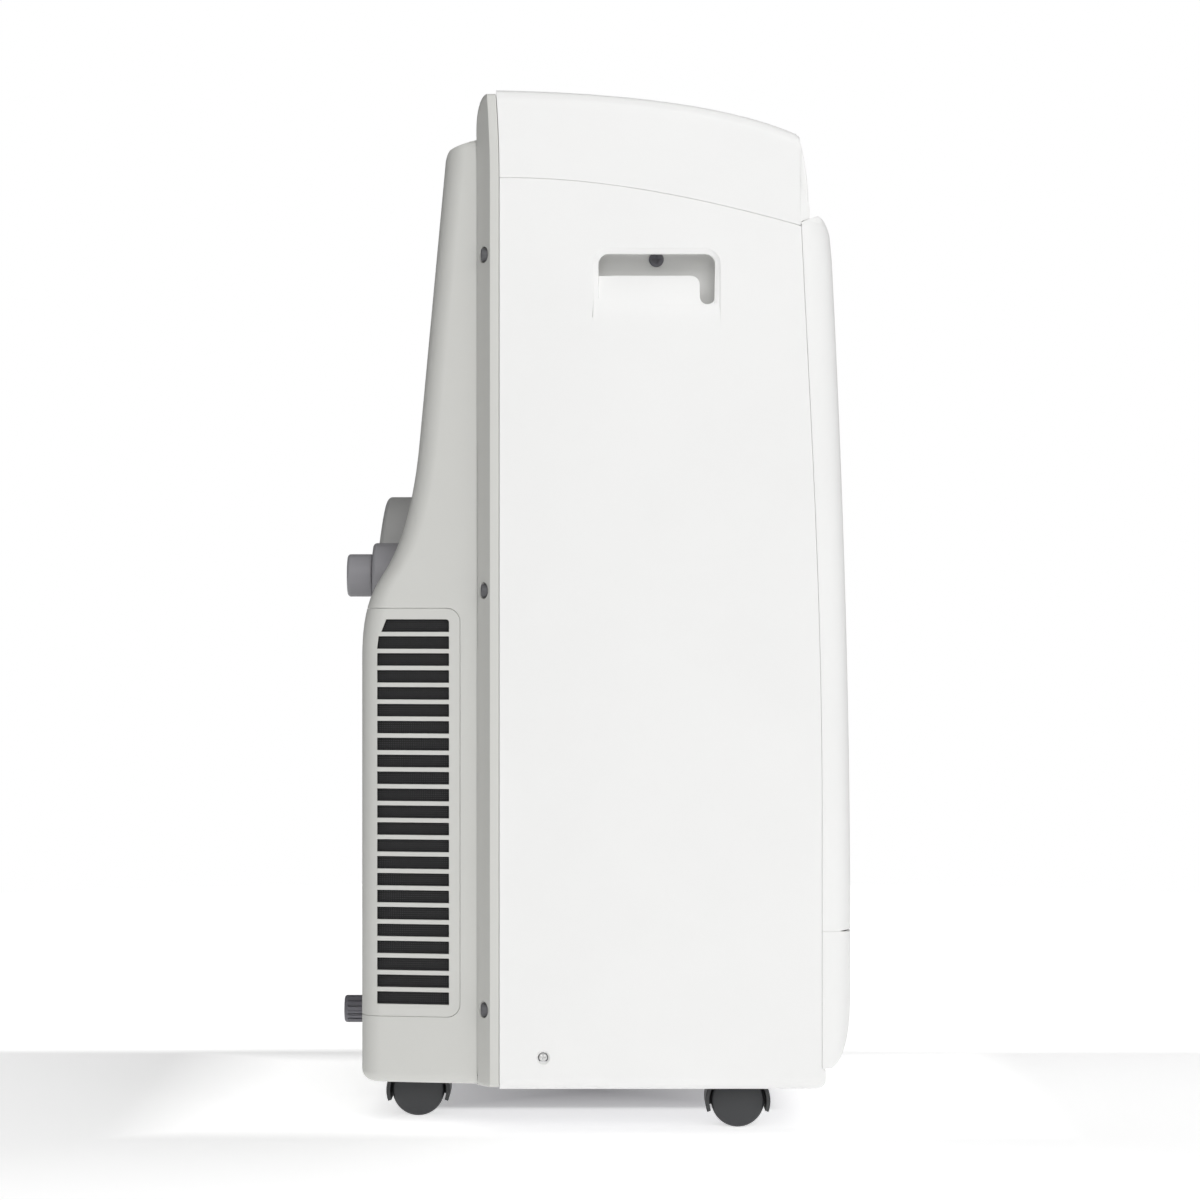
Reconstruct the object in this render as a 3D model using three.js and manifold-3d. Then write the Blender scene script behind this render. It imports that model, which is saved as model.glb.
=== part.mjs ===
// A portable air conditioner on four casters, in millimetres. +Z is up, the front faces -Y,
// and the origin is on the floor under the middle of the casing. The casters are drawn from the
// floor, and everything they carry from a datum plane LIFT above it.
import * as THREE from "three";
import { mergeVertices } from "three/addons/utils/BufferGeometryUtils.js";
import Module from "manifold-3d";

const wasm = await Module();
wasm.setup();

// ---------------------------------------------------------------- driving dimensions

const LIFT = 3; // the casing's datum plane above the floor
const HEIGHT = 770; // casing datum to the ridge of the top cover
const HALF_WIDTH = 220; // centre plane to a side panel's outer face
const WALL = 3; // moulded casing walls
const GAP = 0.5; // shut line between two casing parts
const SKIRT_Z = 31; // lower edge of the casing
const THROUGH = 400; // longer than any cut has to be

const FLANGE_FRONT = 68.5; // rear housing: flange, step and body
const FLANGE_REAR = 75.2;
const STEP_REAR = 85.2;
const FLANGE_TOP = 768;
const BODY_TOP = 737;
const CROWN = { front: { y: 84, z: 736 }, rear: { y: 109, z: 726 } }; // slope of the body's top
const STEP_FOOT = 740; // where the rounded top of the step meets the body
const BODY_HALF = 202;
const BODY_TAPER = Math.tan(THREE.MathUtils.degToRad(9));
const BODY_CORNER = 18;
const BODY_REAR = 173.2;
const BODY_BOTTOM = 32;
const BOTTOM_ROUND = 14;
const TOP_ROUND = 12.5;
const BOTTOM_LIP = 17;

const GRILLE_FRONT = 97.8; // wrap-round grille over the lower rear
const GRILLE_LOW = 80.4;
const GRILLE_HIGH = 387.2;
const GRILLE_CORNER = 10;
const SLOT_ROWS = 23;
const SLOT_PITCH = 12.75;
const SLOT_HEIGHT = 9.1;
const SLOT_TOP = 378.4;
const SIDE_SLOT_FRONT = 106.5;
const SIDE_SLOT_REAR = 160.8;

const INTAKE_HALF = 150; // upper rear intake
const INTAKE_LOW = 508;
const INTAKE_HIGH = 712;
const INTAKE_ROWS = 15;

const EXHAUST_Z = 404; // exhaust port
const EXHAUST_OUTER = 72;
const EXHAUST_BORE = 64;
const EXHAUST_TILT = THREE.MathUtils.degToRad(5);
const EXHAUST_FACE = { y: 167.5, z: 439 }; // a point on the tilted end face
const EXHAUST_ROOT = 112; // where the collar starts, inside the body
const EXHAUST_SHOULDER = 126; // where it widens to fill its hole

const MID_DRAIN = { x: -115, z: 412, boss: 25, face: 168.4, stub: 6, cap: 16.4, capEnd: 188.2 };
const LOW_DRAIN = { x: -20, z: 65.8, spout: 8, cap: 10.8, capEnd: 197.7 };
const GLAND = { x: 120, z: 60, body: 7.5, flange: 11, bore: 4 };

const FRONT_BULGE = 5; // how far the front panel's middle stands out from its edges
const FRONT_SPLIT_Z = 147;
const FLAP_HALF = 211;
const FLAP_PIVOT = { y: -158.5, z: 680.5 };
const FLAP_EDGE = 3.4; // radius of the flap's hinged edge
const MOUTH = { half: 163.5, low: 682.5, high: 728.5 }; // the air outlet, inside its duct
const VANE_X = [-120, -40, 40, 120];
const VANE_Y = -125;
const VANE_ARM = 14; // from a vane's pivot to its link pin
const FASCIA = { y: -95, z: 756.2, tilt: THREE.MathUtils.degToRad(13), half: 88, reach: 23 };
const BUTTONS = { power: -72, mode: -54, fan: 36, up: 54, down: 72 }; // name and place along X

const WHEEL_R = 20; // casters
const TRAIL = 12;
const CASTERS = {
  front_left: { x: -174, y: -122 },
  front_right: { x: 174, y: -122 },
  rear_left: { x: -118, y: 121 },
  rear_right: { x: 118, y: 121 },
};

// ---------------------------------------------------------------- materials

const paint = (color, roughness, metalness = 0) =>
  new THREE.MeshStandardMaterial({ color, roughness, metalness });
const WHITE = paint(0xf2f2f0, 0.35);
const GREY = paint(0xd1d2cd, 0.5);
const DARK_GREY = paint(0x636268, 0.6);
const BLACK = paint(0x2b2c2e, 0.55);
const MESH_BLACK = paint(0x1b1c1e, 0.8);
const STEEL = paint(0xa8abad, 0.45, 0.9);
const ALUMINIUM = paint(0xc9ccce, 0.4, 0.9);
const COPPER = paint(0xb87346, 0.35, 1);
const FOAM = paint(0xe6e6e0, 0.9);
const ENAMEL = paint(0x17181a, 0.4);
const BOARD = paint(0x2c6a41, 0.6);
const RUBBER = paint(0x232325, 0.85);

// ---------------------------------------------------------------- solids

// A closed geometry as a manifold-3d solid, with its faces turned outwards.
function solid(geometry) {
  const bare = geometry.index ? geometry.toNonIndexed() : geometry.clone();
  bare.deleteAttribute("normal");
  bare.deleteAttribute("uv");
  const merged = mergeVertices(bare, 1e-4);
  const vertProperties = merged.attributes.position.array;
  const triVerts = new Uint32Array(merged.index.array);
  const made = new wasm.Manifold(new wasm.Mesh({ numProp: 3, vertProperties, triVerts }));
  if (made.volume() >= 0) return made;
  for (let i = 0; i < triVerts.length; i += 3) {
    [triVerts[i + 1], triVerts[i + 2]] = [triVerts[i + 2], triVerts[i + 1]];
  }
  return new wasm.Manifold(new wasm.Mesh({ numProp: 3, vertProperties, triVerts }));
}

function geometryOf(body) {
  const mesh = body.getMesh();
  const made = new THREE.BufferGeometry();
  made.setAttribute("position", new THREE.BufferAttribute(mesh.vertProperties, 3));
  made.setIndex(new THREE.BufferAttribute(mesh.triVerts, 1));
  made.computeVertexNormals();
  return made;
}

const join = (first, ...others) => others.reduce((all, next) => all.add(next), first);
const cut = (first, ...others) => others.reduce((left, next) => left.subtract(next), first);

function box(x0, x1, y0, y1, z0, z1) {
  const made = new THREE.BoxGeometry(x1 - x0, y1 - y0, z1 - z0);
  return solid(made.translate((x0 + x1) / 2, (y0 + y1) / 2, (z0 + z1) / 2));
}

// An outline drawn in two of the axes, extruded along the third.
const TURNS = {
  x: new THREE.Matrix4().makeBasis(
    new THREE.Vector3(0, 1, 0), new THREE.Vector3(0, 0, 1), new THREE.Vector3(1, 0, 0)),
  y: new THREE.Matrix4().makeBasis(
    new THREE.Vector3(1, 0, 0), new THREE.Vector3(0, 0, 1), new THREE.Vector3(0, -1, 0)),
  z: new THREE.Matrix4(),
};

function extrude(axis, shape, low, high, curveSegments = 5) {
  const made = new THREE.ExtrudeGeometry(shape, {
    depth: high - low, bevelEnabled: false, curveSegments,
  });
  made.applyMatrix4(TURNS[axis]);
  if (axis === "x") made.translate(low, 0, 0);
  if (axis === "y") made.translate(0, high, 0);
  if (axis === "z") made.translate(0, 0, low);
  return solid(made);
}

// A closed profile of [radius, distance along the axis], turned about an axis through a point.
function turned(axis, profile, [x, y, z], segments = 18) {
  const points = profile.map(([radius, along]) => new THREE.Vector2(radius, along));
  const made = new THREE.LatheGeometry(points, segments);
  if (axis === "x") made.rotateZ(-Math.PI / 2);
  if (axis === "z") made.rotateX(Math.PI / 2);
  return solid(made.translate(x, y, z));
}

const rod = (axis, radius, low, high, [x, y, z], segments = 18) =>
  turned(axis, [[0, low], [radius, low], [radius, high], [0, high]], [x, y, z], segments);

function tube(points, radius, sides = 8, steps = 24) {
  const path = new THREE.CatmullRomCurve3(points.map((p) => new THREE.Vector3(...p)));
  const section = new THREE.Shape();
  for (let i = 0; i < sides; i += 1) {
    const turn = (2 * Math.PI * i) / sides;
    const at = [radius * Math.cos(turn), radius * Math.sin(turn)];
    if (i === 0) section.moveTo(...at);
    else section.lineTo(...at);
  }
  return solid(new THREE.ExtrudeGeometry(section, { steps, extrudePath: path, bevelEnabled: false }));
}

// Rings of equal length joined into a solid. They lie in X and Y, stacked upwards, unless another
// plane is named.
function loft(rings, [across, along] = ["x", "y"]) {
  const count = rings[0].length;
  const positions = rings.flat().flatMap((p) => [p.x, p.y, p.z]);
  const index = [];
  for (let level = 0; level + 1 < rings.length; level += 1) {
    for (let i = 0; i < count; i += 1) {
      const a = level * count + i;
      const b = level * count + ((i + 1) % count);
      index.push(a, b, b + count, a, b + count, a + count);
    }
  }
  const flat = (ring) => ring.map((p) => new THREE.Vector2(p[across], p[along]));
  const last = (rings.length - 1) * count;
  for (const [a, b, c] of THREE.ShapeUtils.triangulateShape(flat(rings[0]), [])) index.push(c, b, a);
  for (const [a, b, c] of THREE.ShapeUtils.triangulateShape(flat(rings.at(-1)), [])) {
    index.push(last + a, last + b, last + c);
  }
  const made = new THREE.BufferGeometry();
  made.setAttribute("position", new THREE.BufferAttribute(new Float32Array(positions), 3));
  made.setIndex(index);
  return solid(made);
}

function roundRect(a0, a1, b0, b1, radius) {
  const shape = new THREE.Shape();
  shape.moveTo(a0 + radius, b0);
  shape.lineTo(a1 - radius, b0);
  shape.absarc(a1 - radius, b0 + radius, radius, -Math.PI / 2, 0);
  shape.lineTo(a1, b1 - radius);
  shape.absarc(a1 - radius, b1 - radius, radius, 0, Math.PI / 2);
  shape.lineTo(a0 + radius, b1);
  shape.absarc(a0 + radius, b1 - radius, radius, Math.PI / 2, Math.PI);
  shape.lineTo(a0, b0 + radius);
  shape.absarc(a0 + radius, b0 + radius, radius, Math.PI, 1.5 * Math.PI);
  return shape;
}

const polygon = (points) => new THREE.Shape(points.map(([a, b]) => new THREE.Vector2(a, b)));

// y as a function of z along a path drawn upwards in (y, z).
function alongPath(path, divisions) {
  const points = path.getPoints(divisions);
  return (z) => {
    if (z <= points[0].y) return points[0].x;
    const next = points.findIndex((p) => p.y >= z);
    if (next < 0) return points.at(-1).x;
    const [low, high] = [points[next - 1], points[next]];
    return THREE.MathUtils.mapLinear(z, low.y, high.y, low.x, high.x);
  };
}

const unit = new THREE.Group();
const casing = new THREE.Group();
casing.position.z = LIFT;
unit.add(casing);

function add(name, material, body, parent = casing) {
  const mesh = new THREE.Mesh(geometryOf(body), material.clone());
  mesh.name = name;
  parent.add(mesh);
}

// ---------------------------------------------------------------- casing outlines

// The rear silhouette: upright behind the grille, a soft shoulder, then a lean towards the top.
const backPath = new THREE.Path();
backPath.moveTo(BODY_REAR, BODY_BOTTOM);
backPath.lineTo(BODY_REAR, 350);
backPath.bezierCurveTo(BODY_REAR, 385, 166, 400, 157, 413);
backPath.bezierCurveTo(146, 429, 134, 460, 129.3, 513.5);
backPath.lineTo(109.5, BODY_TOP - TOP_ROUND);
const backY = alongPath(backPath, 7);

// The line where a side panel meets the front panel.
const frontSeam = new THREE.Path();
frontSeam.moveTo(-171.2, SKIRT_Z);
frontSeam.lineTo(-171.2, 240);
frontSeam.bezierCurveTo(-171, 400, -163, 520, -155.6, 676);
const seamY = alongPath(frontSeam, 6);

// The front panel's outer silhouette, without its middle bulge.
const frontFace = new THREE.Path();
frontFace.moveTo(-179, 45);
frontFace.quadraticCurveTo(-192.4, 52, -192.7, 96);
frontFace.lineTo(-192.7, 150);
frontFace.bezierCurveTo(-192, 330, -183, 520, -178.6, 652);
frontFace.quadraticCurveTo(-177.4, 676, -168, 677.8);
const frontY = alongPath(frontFace, 5);

// The lower edge of the top cover, and its upper surface, both drawn from rear to front.
const coverSeam = new THREE.QuadraticBezierCurve(
  new THREE.Vector2(FLANGE_FRONT - GAP, 706.3), new THREE.Vector2(-24, 708),
  new THREE.Vector2(-155, 671));
const coverRoof = new THREE.CubicBezierCurve(
  new THREE.Vector2(FLANGE_FRONT - GAP, HEIGHT), new THREE.Vector2(0, 768.5),
  new THREE.Vector2(-95, 762.5), new THREE.Vector2(-152, 737.5));

// ---------------------------------------------------------------- rear housing

const roundIn = (radius, distance) => radius - Math.sqrt(Math.max(0, radius ** 2 - distance ** 2));

// How far the body's wall turns in near its lower and upper edges.
function edgeInset(z) {
  const low = Math.max(0, BODY_BOTTOM + BOTTOM_ROUND - z);
  const high = Math.max(0, z - (BODY_TOP - TOP_ROUND));
  return roundIn(BOTTOM_ROUND, Math.min(low, BOTTOM_ROUND)) + roundIn(TOP_ROUND, high);
}

function bodyRing(z, inset, front, ignoreEdges = false) {
  const shrink = inset + (ignoreEdges ? 0 : edgeInset(z));
  const rear = backY(z) - shrink;
  const radius = Math.max(4, BODY_CORNER - shrink);
  const halfAt = (y) => BODY_HALF - shrink - (y - STEP_REAR) * BODY_TAPER;
  const centre = { x: halfAt(rear - radius) - radius, y: rear - radius };
  const half = [new THREE.Vector3(halfAt(front), front, z)];
  const steps = 4;
  for (let i = 0; i <= steps; i += 1) {
    const turn = (i / steps) * (Math.PI / 2);
    half.push(new THREE.Vector3(
      centre.x + radius * Math.cos(turn), centre.y + radius * Math.sin(turn), z));
  }
  const mirrored = half.map((p) => new THREE.Vector3(-p.x, p.y, p.z)).reverse();
  return [...half, ...mirrored];
}

const BODY_LEVELS = [48, 350, 370, 387, 402, 418, 440, 470, 513.5, 724];
const bodyOuter = loft([32, 34, 39, ...BODY_LEVELS, 731, 735, BODY_TOP - 0.2]
  .map((z) => bodyRing(z, 0, FLANGE_REAR)));

// The body's inside at a given depth from its surface, open towards the front and below.
function bodyInside(inset, front) {
  const upright = [20, 46].map((z) => bodyRing(z, BOTTOM_LIP, front, true));
  const above = [...BODY_LEVELS.slice(0, -1), 721].map((z) => bodyRing(z, inset, front, true));
  return loft([...upright, ...above]);
}

const bodyShell = cut(bodyOuter, bodyInside(WALL, 40));

const grilleRegion = (shrink) => extrude("x", roundRect(
  GRILLE_FRONT + shrink, THROUGH, GRILLE_LOW + shrink, GRILLE_HIGH - shrink, GRILLE_CORNER),
  -THROUGH, THROUGH);
const intakeRegion = (shrink) => extrude("y", roundRect(
  -INTAKE_HALF + shrink, INTAKE_HALF - shrink, INTAKE_LOW + shrink, INTAKE_HIGH - shrink,
  GRILLE_CORNER), STEP_REAR, THROUGH);
const exhaustCore = (radius) => rod("y", radius, 100, 300, [0, 0, EXHAUST_Z], 22);

const flangePlate = extrude("y", roundRect(
  -HALF_WIDTH, HALF_WIDTH, SKIRT_Z, FLANGE_TOP, 4), FLANGE_FRONT, FLANGE_REAR, 2);

// The step between the flange and the body: it slopes at the sides and is rounded at the top.
function flangeStep() {
  const rings = [0, 0.4, 0.65, 0.85, 0.95, 1].map((part) => {
    const half = THREE.MathUtils.lerp(HALF_WIDTH, BODY_HALF, part);
    const y = THREE.MathUtils.lerp(FLANGE_REAR - 0.1, STEP_REAR, part);
    const low = THREE.MathUtils.lerp(SKIRT_Z, BODY_BOTTOM, part);
    const high = STEP_FOOT + (FLANGE_TOP - 1 - STEP_FOOT) * Math.sqrt(1 - part ** 2);
    return [[half, low], [half, high], [-half, high], [-half, low]].map(([x, z]) =>
      new THREE.Vector3(x, y, z));
  });
  return loft(rings, ["x", "z"]);
}

// Everything above the slope of the body's top, behind the step.
const aboveCrown = extrude("x", polygon([
  [STEP_REAR + 0.5, THREE.MathUtils.mapLinear(
    STEP_REAR + 0.5, CROWN.front.y, CROWN.rear.y, CROWN.front.z, CROWN.rear.z)],
  [CROWN.rear.y, CROWN.rear.z], [CROWN.rear.y + 60, CROWN.rear.z], [CROWN.rear.y + 60, HEIGHT],
  [STEP_REAR + 0.5, HEIGHT],
]), -THROUGH, THROUGH);

const SCREW_Z = [88, 400, 650]; // screws through the step, from behind
const STEP_SCREW = { x: 211, floor: 71.5, radius: 5.5 };
const screwPockets = [-1, 1].flatMap((side) => SCREW_Z.map((z) =>
  rod("y", STEP_SCREW.radius, STEP_SCREW.floor, STEP_REAR + 10, [side * STEP_SCREW.x, 0, z], 10)));

const drainBoss = rod("y", MID_DRAIN.boss, 130, MID_DRAIN.face, [MID_DRAIN.x, 0, MID_DRAIN.z], 16);

add("rear_housing", GREY, cut(
  join(flangePlate, flangeStep(), cut(bodyOuter, aboveCrown), drainBoss),
  bodyInside(WALL, 40),
  grilleRegion(0), intakeRegion(0), exhaustCore(EXHAUST_OUTER + 0.6),
  rod("y", LOW_DRAIN.spout + 0.6, 140, 200, [LOW_DRAIN.x, 0, LOW_DRAIN.z], 12),
  rod("y", MID_DRAIN.stub + 0.6, 100, 200, [MID_DRAIN.x, 0, MID_DRAIN.z], 12),
  rod("y", GLAND.body + 0.5, 100, 200, [GLAND.x, 0, GLAND.z], 12),
  ...screwPockets));

// ---------------------------------------------------------------- grilles and filters

function slots(rows, top, spans, along) {
  const cuts = [];
  for (let row = 0; row < rows; row += 1) {
    const high = top - row * SLOT_PITCH;
    for (const [low, far] of spans(row, high)) {
      const slot = along === "x"
        ? box(-THROUGH, THROUGH, low, far, high - SLOT_HEIGHT, high)
        : box(low, far, STEP_REAR, THROUGH, high - SLOT_HEIGHT, high);
      cuts.push(slot);
    }
  }
  return cuts;
}

const BACK_COLUMNS = [[-158, -5], [5, 158]];
const LEANING_SLOTS = [6, 2]; // the two highest side slots stop short, under the shoulder
const sideSpan = (row) => [[SIDE_SLOT_FRONT, SIDE_SLOT_REAR - (LEANING_SLOTS[row] ?? 0)]];
const backSpans = (row, high) => BACK_COLUMNS.map(([low, far]) => {
  const near = high > EXHAUST_Z - EXHAUST_OUTER - SLOT_PITCH ? EXHAUST_OUTER + 10 : 0;
  return low < 0 ? [low, Math.min(far, near ? -near : far)] : [Math.max(low, near), far];
});

add("lower_grille", GREY, cut(
  bodyShell.intersect(grilleRegion(GAP)), exhaustCore(EXHAUST_OUTER + 1.5),
  ...slots(SLOT_ROWS, SLOT_TOP, sideSpan, "x"),
  ...slots(SLOT_ROWS, SLOT_TOP, backSpans, "y")));
add("lower_filter", MESH_BLACK, cut(
  bodyInside(4, 60), bodyInside(5.5, 50),
  exhaustCore(EXHAUST_OUTER + 3)).intersect(grilleRegion(4)));

add("upper_grille", GREY, cut(
  bodyShell.intersect(intakeRegion(GAP)),
  ...slots(INTAKE_ROWS, INTAKE_HIGH - 9, () => [[-138, -5], [5, 138]], "y")));
add("upper_filter", MESH_BLACK, cut(
  bodyInside(4, 60), bodyInside(5.5, 50)).intersect(intakeRegion(4)));

// ---------------------------------------------------------------- exhaust, drains and gland

const exhaustEnd = solid(new THREE.BoxGeometry(THROUGH, 60, THROUGH)
  .translate(0, 30, 0).rotateX(EXHAUST_TILT)
  .translate(0, EXHAUST_FACE.y, EXHAUST_FACE.z));
add("exhaust_collar", GREY, cut(
  turned("y", [
    [EXHAUST_BORE, EXHAUST_ROOT], [EXHAUST_BORE + WALL, EXHAUST_ROOT],
    [EXHAUST_BORE + WALL, EXHAUST_SHOULDER], [EXHAUST_OUTER, EXHAUST_SHOULDER],
    [EXHAUST_OUTER, 166], [EXHAUST_OUTER - 2.2, 171],
    [EXHAUST_OUTER - 7, 190], [EXHAUST_BORE, 190], [EXHAUST_BORE, EXHAUST_ROOT],
  ], [0, 0, EXHAUST_Z], 22),
  exhaustEnd));

add("mid_drain_cap", GREY, join(
  rod("y", MID_DRAIN.cap, MID_DRAIN.face + GAP, MID_DRAIN.capEnd, [MID_DRAIN.x, 0, MID_DRAIN.z]),
  rod("y", MID_DRAIN.stub, 158, MID_DRAIN.face + 1, [MID_DRAIN.x, 0, MID_DRAIN.z], 12)));
add("bottom_drain_cap", DARK_GREY, cut(
  rod("y", LOW_DRAIN.cap, 174, LOW_DRAIN.capEnd, [LOW_DRAIN.x, 0, LOW_DRAIN.z]),
  rod("y", LOW_DRAIN.spout + 0.4, 170, 182, [LOW_DRAIN.x, 0, LOW_DRAIN.z], 12)));
add("cord_gland", BLACK, cut(
  join(
    rod("y", GLAND.flange, BODY_REAR + GAP, 177.5, [GLAND.x, 0, GLAND.z]),
    rod("y", GLAND.body, 163, 175, [GLAND.x, 0, GLAND.z], 12)),
  rod("y", GLAND.bore, 150, 190, [GLAND.x, 0, GLAND.z], 10)));

// ---------------------------------------------------------------- side panels and handles

const HANDLE = { rear: -2.8, front: -94, low: 600, high: 650.4, corner: 7.5, deep: 28 };
const RAMP = { front: -80.7, high: 634.2, deep: 16, slotFoot: 612 };
const BASE_SCREW = { y: 35.8, z: 53.3, radius: 5 };
const PANEL_REAR = FLANGE_FRONT - GAP;
const SIDE_LIP = { y: -174.2, high: 43.5, round: 8 }; // below the front panel

const sideOutline = new THREE.Shape();
sideOutline.moveTo(PANEL_REAR, SKIRT_Z);
for (const point of coverSeam.getPoints(6)) sideOutline.lineTo(point.x, point.y - GAP);
for (const z of [597, 497, 350, 200, 44]) sideOutline.lineTo(seamY(z), z);
sideOutline.lineTo(SIDE_LIP.y, SIDE_LIP.high);
sideOutline.lineTo(SIDE_LIP.y, SKIRT_Z + SIDE_LIP.round);
sideOutline.quadraticCurveTo(SIDE_LIP.y, SKIRT_Z, SIDE_LIP.y + SIDE_LIP.round, SKIRT_Z);

function sidePanel(side) {
  const [low, high] = side < 0 ? [-HALF_WIDTH, WALL - HALF_WIDTH] : [HALF_WIDTH - WALL, HALF_WIDTH];
  return cut(
    extrude("x", sideOutline, low, high),
    extrude("x", roundRect(HANDLE.front, HANDLE.rear, HANDLE.low, HANDLE.high, HANDLE.corner),
      low - 1, high + 1),
    rod("x", BASE_SCREW.radius, low - 1, high + 1, [0, BASE_SCREW.y, BASE_SCREW.z], 12));
}

// A finger pocket behind each panel, with a ramp that leads up into it.
function handleCup(side) {
  const face = HALF_WIDTH - WALL - GAP;
  const back = HALF_WIDTH - HANDLE.deep;
  const grown = (by) => roundRect(HANDLE.front - by, HANDLE.rear + by, HANDLE.low - by,
    HANDLE.high + by, HANDLE.corner + by);
  const between = (a, b) => [Math.min(side * a, side * b), Math.max(side * a, side * b)];
  const ramp = extrude("y", polygon([
    [side * back, HANDLE.low - 1], [side * face, HANDLE.low - 1], [side * face, HANDLE.low + 3],
    [side * (face - RAMP.deep), RAMP.high], [side * back, RAMP.high],
  ]), RAMP.front, HANDLE.rear + 1);
  const slotFoot = box(...between(back, face), HANDLE.front - 1, RAMP.front + 1,
    HANDLE.low - 1, RAMP.slotFoot);
  return join(
    cut(
      extrude("x", grown(WALL), ...between(back, face)),
      extrude("x", grown(0), ...between(back + WALL, HALF_WIDTH))),
    ramp, slotFoot);
}

for (const [name, side] of [["left", -1], ["right", 1]]) {
  add(`${name}_side_panel`, WHITE, sidePanel(side));
  add(`${name}_handle_cup`, GREY, handleCup(side));
}

// ---------------------------------------------------------------- base tray

const TRAY_FLOOR = { low: 50, high: 54 };
const TRAY_RIM = 80;

function trayOutline(inset) {
  const half = HALF_WIDTH - 6 - inset;
  const narrow = 178 - inset;
  const bend = FLANGE_FRONT - 1.5 - inset;
  return polygon([
    [-half, -165 + inset], [half, -165 + inset], [half, bend], [narrow, bend],
    [narrow, 146], [narrow - 14, 160 - inset], [14 - narrow, 160 - inset], [-narrow, 146],
    [-narrow, bend], [-half, bend]]);
}

const stemBosses = Object.values(CASTERS).map(({ x, y }) => rod("z", 11, 46, 62, [x, y, 0], 14));
const stemHoles = Object.values(CASTERS).map(({ x, y }) => rod("z", 5.5, 40, 59, [x, y, 0], 12));
const FLOAT = { x: -196, y: 20, pin: 2.6 };

add("base_tray", DARK_GREY, cut(
  join(
    cut(
      extrude("z", trayOutline(0), TRAY_FLOOR.low, TRAY_RIM),
      extrude("z", trayOutline(WALL), TRAY_FLOOR.high, TRAY_RIM + 1)),
    rod("y", LOW_DRAIN.spout, 158, 180, [LOW_DRAIN.x, 0, LOW_DRAIN.z], 12),
    rod("z", FLOAT.pin, TRAY_FLOOR.low + 1, 98, [FLOAT.x, FLOAT.y, 0], 10),
    ...stemBosses),
  rod("y", LOW_DRAIN.spout - 3, 150, 190, [LOW_DRAIN.x, 0, LOW_DRAIN.z], 10),
  ...stemHoles));
add("float_switch", FOAM, cut(
  rod("z", 11, TRAY_FLOOR.high + GAP, 72, [FLOAT.x, FLOAT.y, 0], 14),
  rod("z", FLOAT.pin + 0.6, 50, 80, [FLOAT.x, FLOAT.y, 0], 10)));

// ---------------------------------------------------------------- front panels and bulkhead

const BULKHEAD = { half: 209, front: -150, rear: -147, high: 664 };
add("front_bulkhead", STEEL, box(
  -BULKHEAD.half, BULKHEAD.half, BULKHEAD.front, BULKHEAD.rear,
  TRAY_FLOOR.high + GAP, BULKHEAD.high));

const FRONT_LEVELS = [45, 47, 52, 62, 80, 105, 240, 360, 480, 600, 652, 668, 675, 677.6];
const frontBack = (z) =>
  Math.min(seamY(z) - GAP, THREE.MathUtils.mapLinear(z, 674.9, 677.6, -159.3, -167));

function frontRing(z, inset, back) {
  const face = frontY(z) + inset;
  const radius = Math.max(0.3, Math.min(19 - inset, (back - face) * 0.9));
  const half = HALF_WIDTH - inset;
  const bulge = (x) => FRONT_BULGE * (1 - (x / half) ** 2);
  const right = [70, 140].map((x) => new THREE.Vector3(x, face - bulge(x), z));
  const steps = 4;
  for (let i = 0; i <= steps; i += 1) {
    const turn = (1 - i / steps) * (Math.PI / 2);
    const x = half - radius + radius * Math.cos(turn);
    right.push(new THREE.Vector3(x, face + radius - radius * Math.sin(turn) - bulge(x), z));
  }
  right.push(new THREE.Vector3(half, back, z));
  const left = right.map((p) => new THREE.Vector3(-p.x, p.y, p.z)).reverse();
  return [new THREE.Vector3(0, face - FRONT_BULGE, z), ...right, ...left];
}

const frontOuter = loft(FRONT_LEVELS.map((z) => frontRing(z, 0, frontBack(z))));
const frontInner = loft(FRONT_LEVELS.slice(2, -3).map((z) => frontRing(z, WALL, -140)));
const frontShell = cut(frontOuter, frontInner);
const SPLIT = { low: FRONT_SPLIT_Z - 1, high: FRONT_SPLIT_Z + 1 };
const across = (low, high) => box(-THROUGH, THROUGH, -THROUGH, 0, low, high);
add("front_panel_upper", WHITE, frontShell.intersect(across(SPLIT.high, HEIGHT)));
add("front_panel_lower", WHITE, frontShell.intersect(across(0, SPLIT.low)));

// ---------------------------------------------------------------- top cover

const COVER_FRONT = -155;
const FLAP_NICHE = { half: FLAP_HALF + 1.5, wall: -151 };

function coverOutline(drop, front, rear, foot) {
  const shape = new THREE.Shape();
  shape.moveTo(rear, foot);
  shape.lineTo(rear, HEIGHT - drop);
  for (const point of coverRoof.getPoints(10)) {
    if (point.x < rear && point.x > front) shape.lineTo(point.x, point.y - drop);
  }
  shape.lineTo(front, 735 - drop);
  shape.lineTo(front, foot);
  return shape;
}

const underSeam = new THREE.Shape();
underSeam.moveTo(PANEL_REAR + 20, 706);
for (const point of coverSeam.getPoints(6)) underSeam.lineTo(point.x, point.y);
underSeam.lineTo(-200, 671);
underSeam.lineTo(-200, 500);
underSeam.lineTo(PANEL_REAR + 20, 500);

const fasciaFrame = new THREE.Matrix4()
  .makeRotationX(FASCIA.tilt).setPosition(0, FASCIA.y, FASCIA.z);

// A box in the tilted frame of the control fascia.
function tiltedBox(half, reach, low, high) {
  const made = new THREE.BoxGeometry(2 * half, 2 * reach, high - low);
  return solid(made.translate(0, 0, (low + high) / 2).applyMatrix4(fasciaFrame));
}

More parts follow.
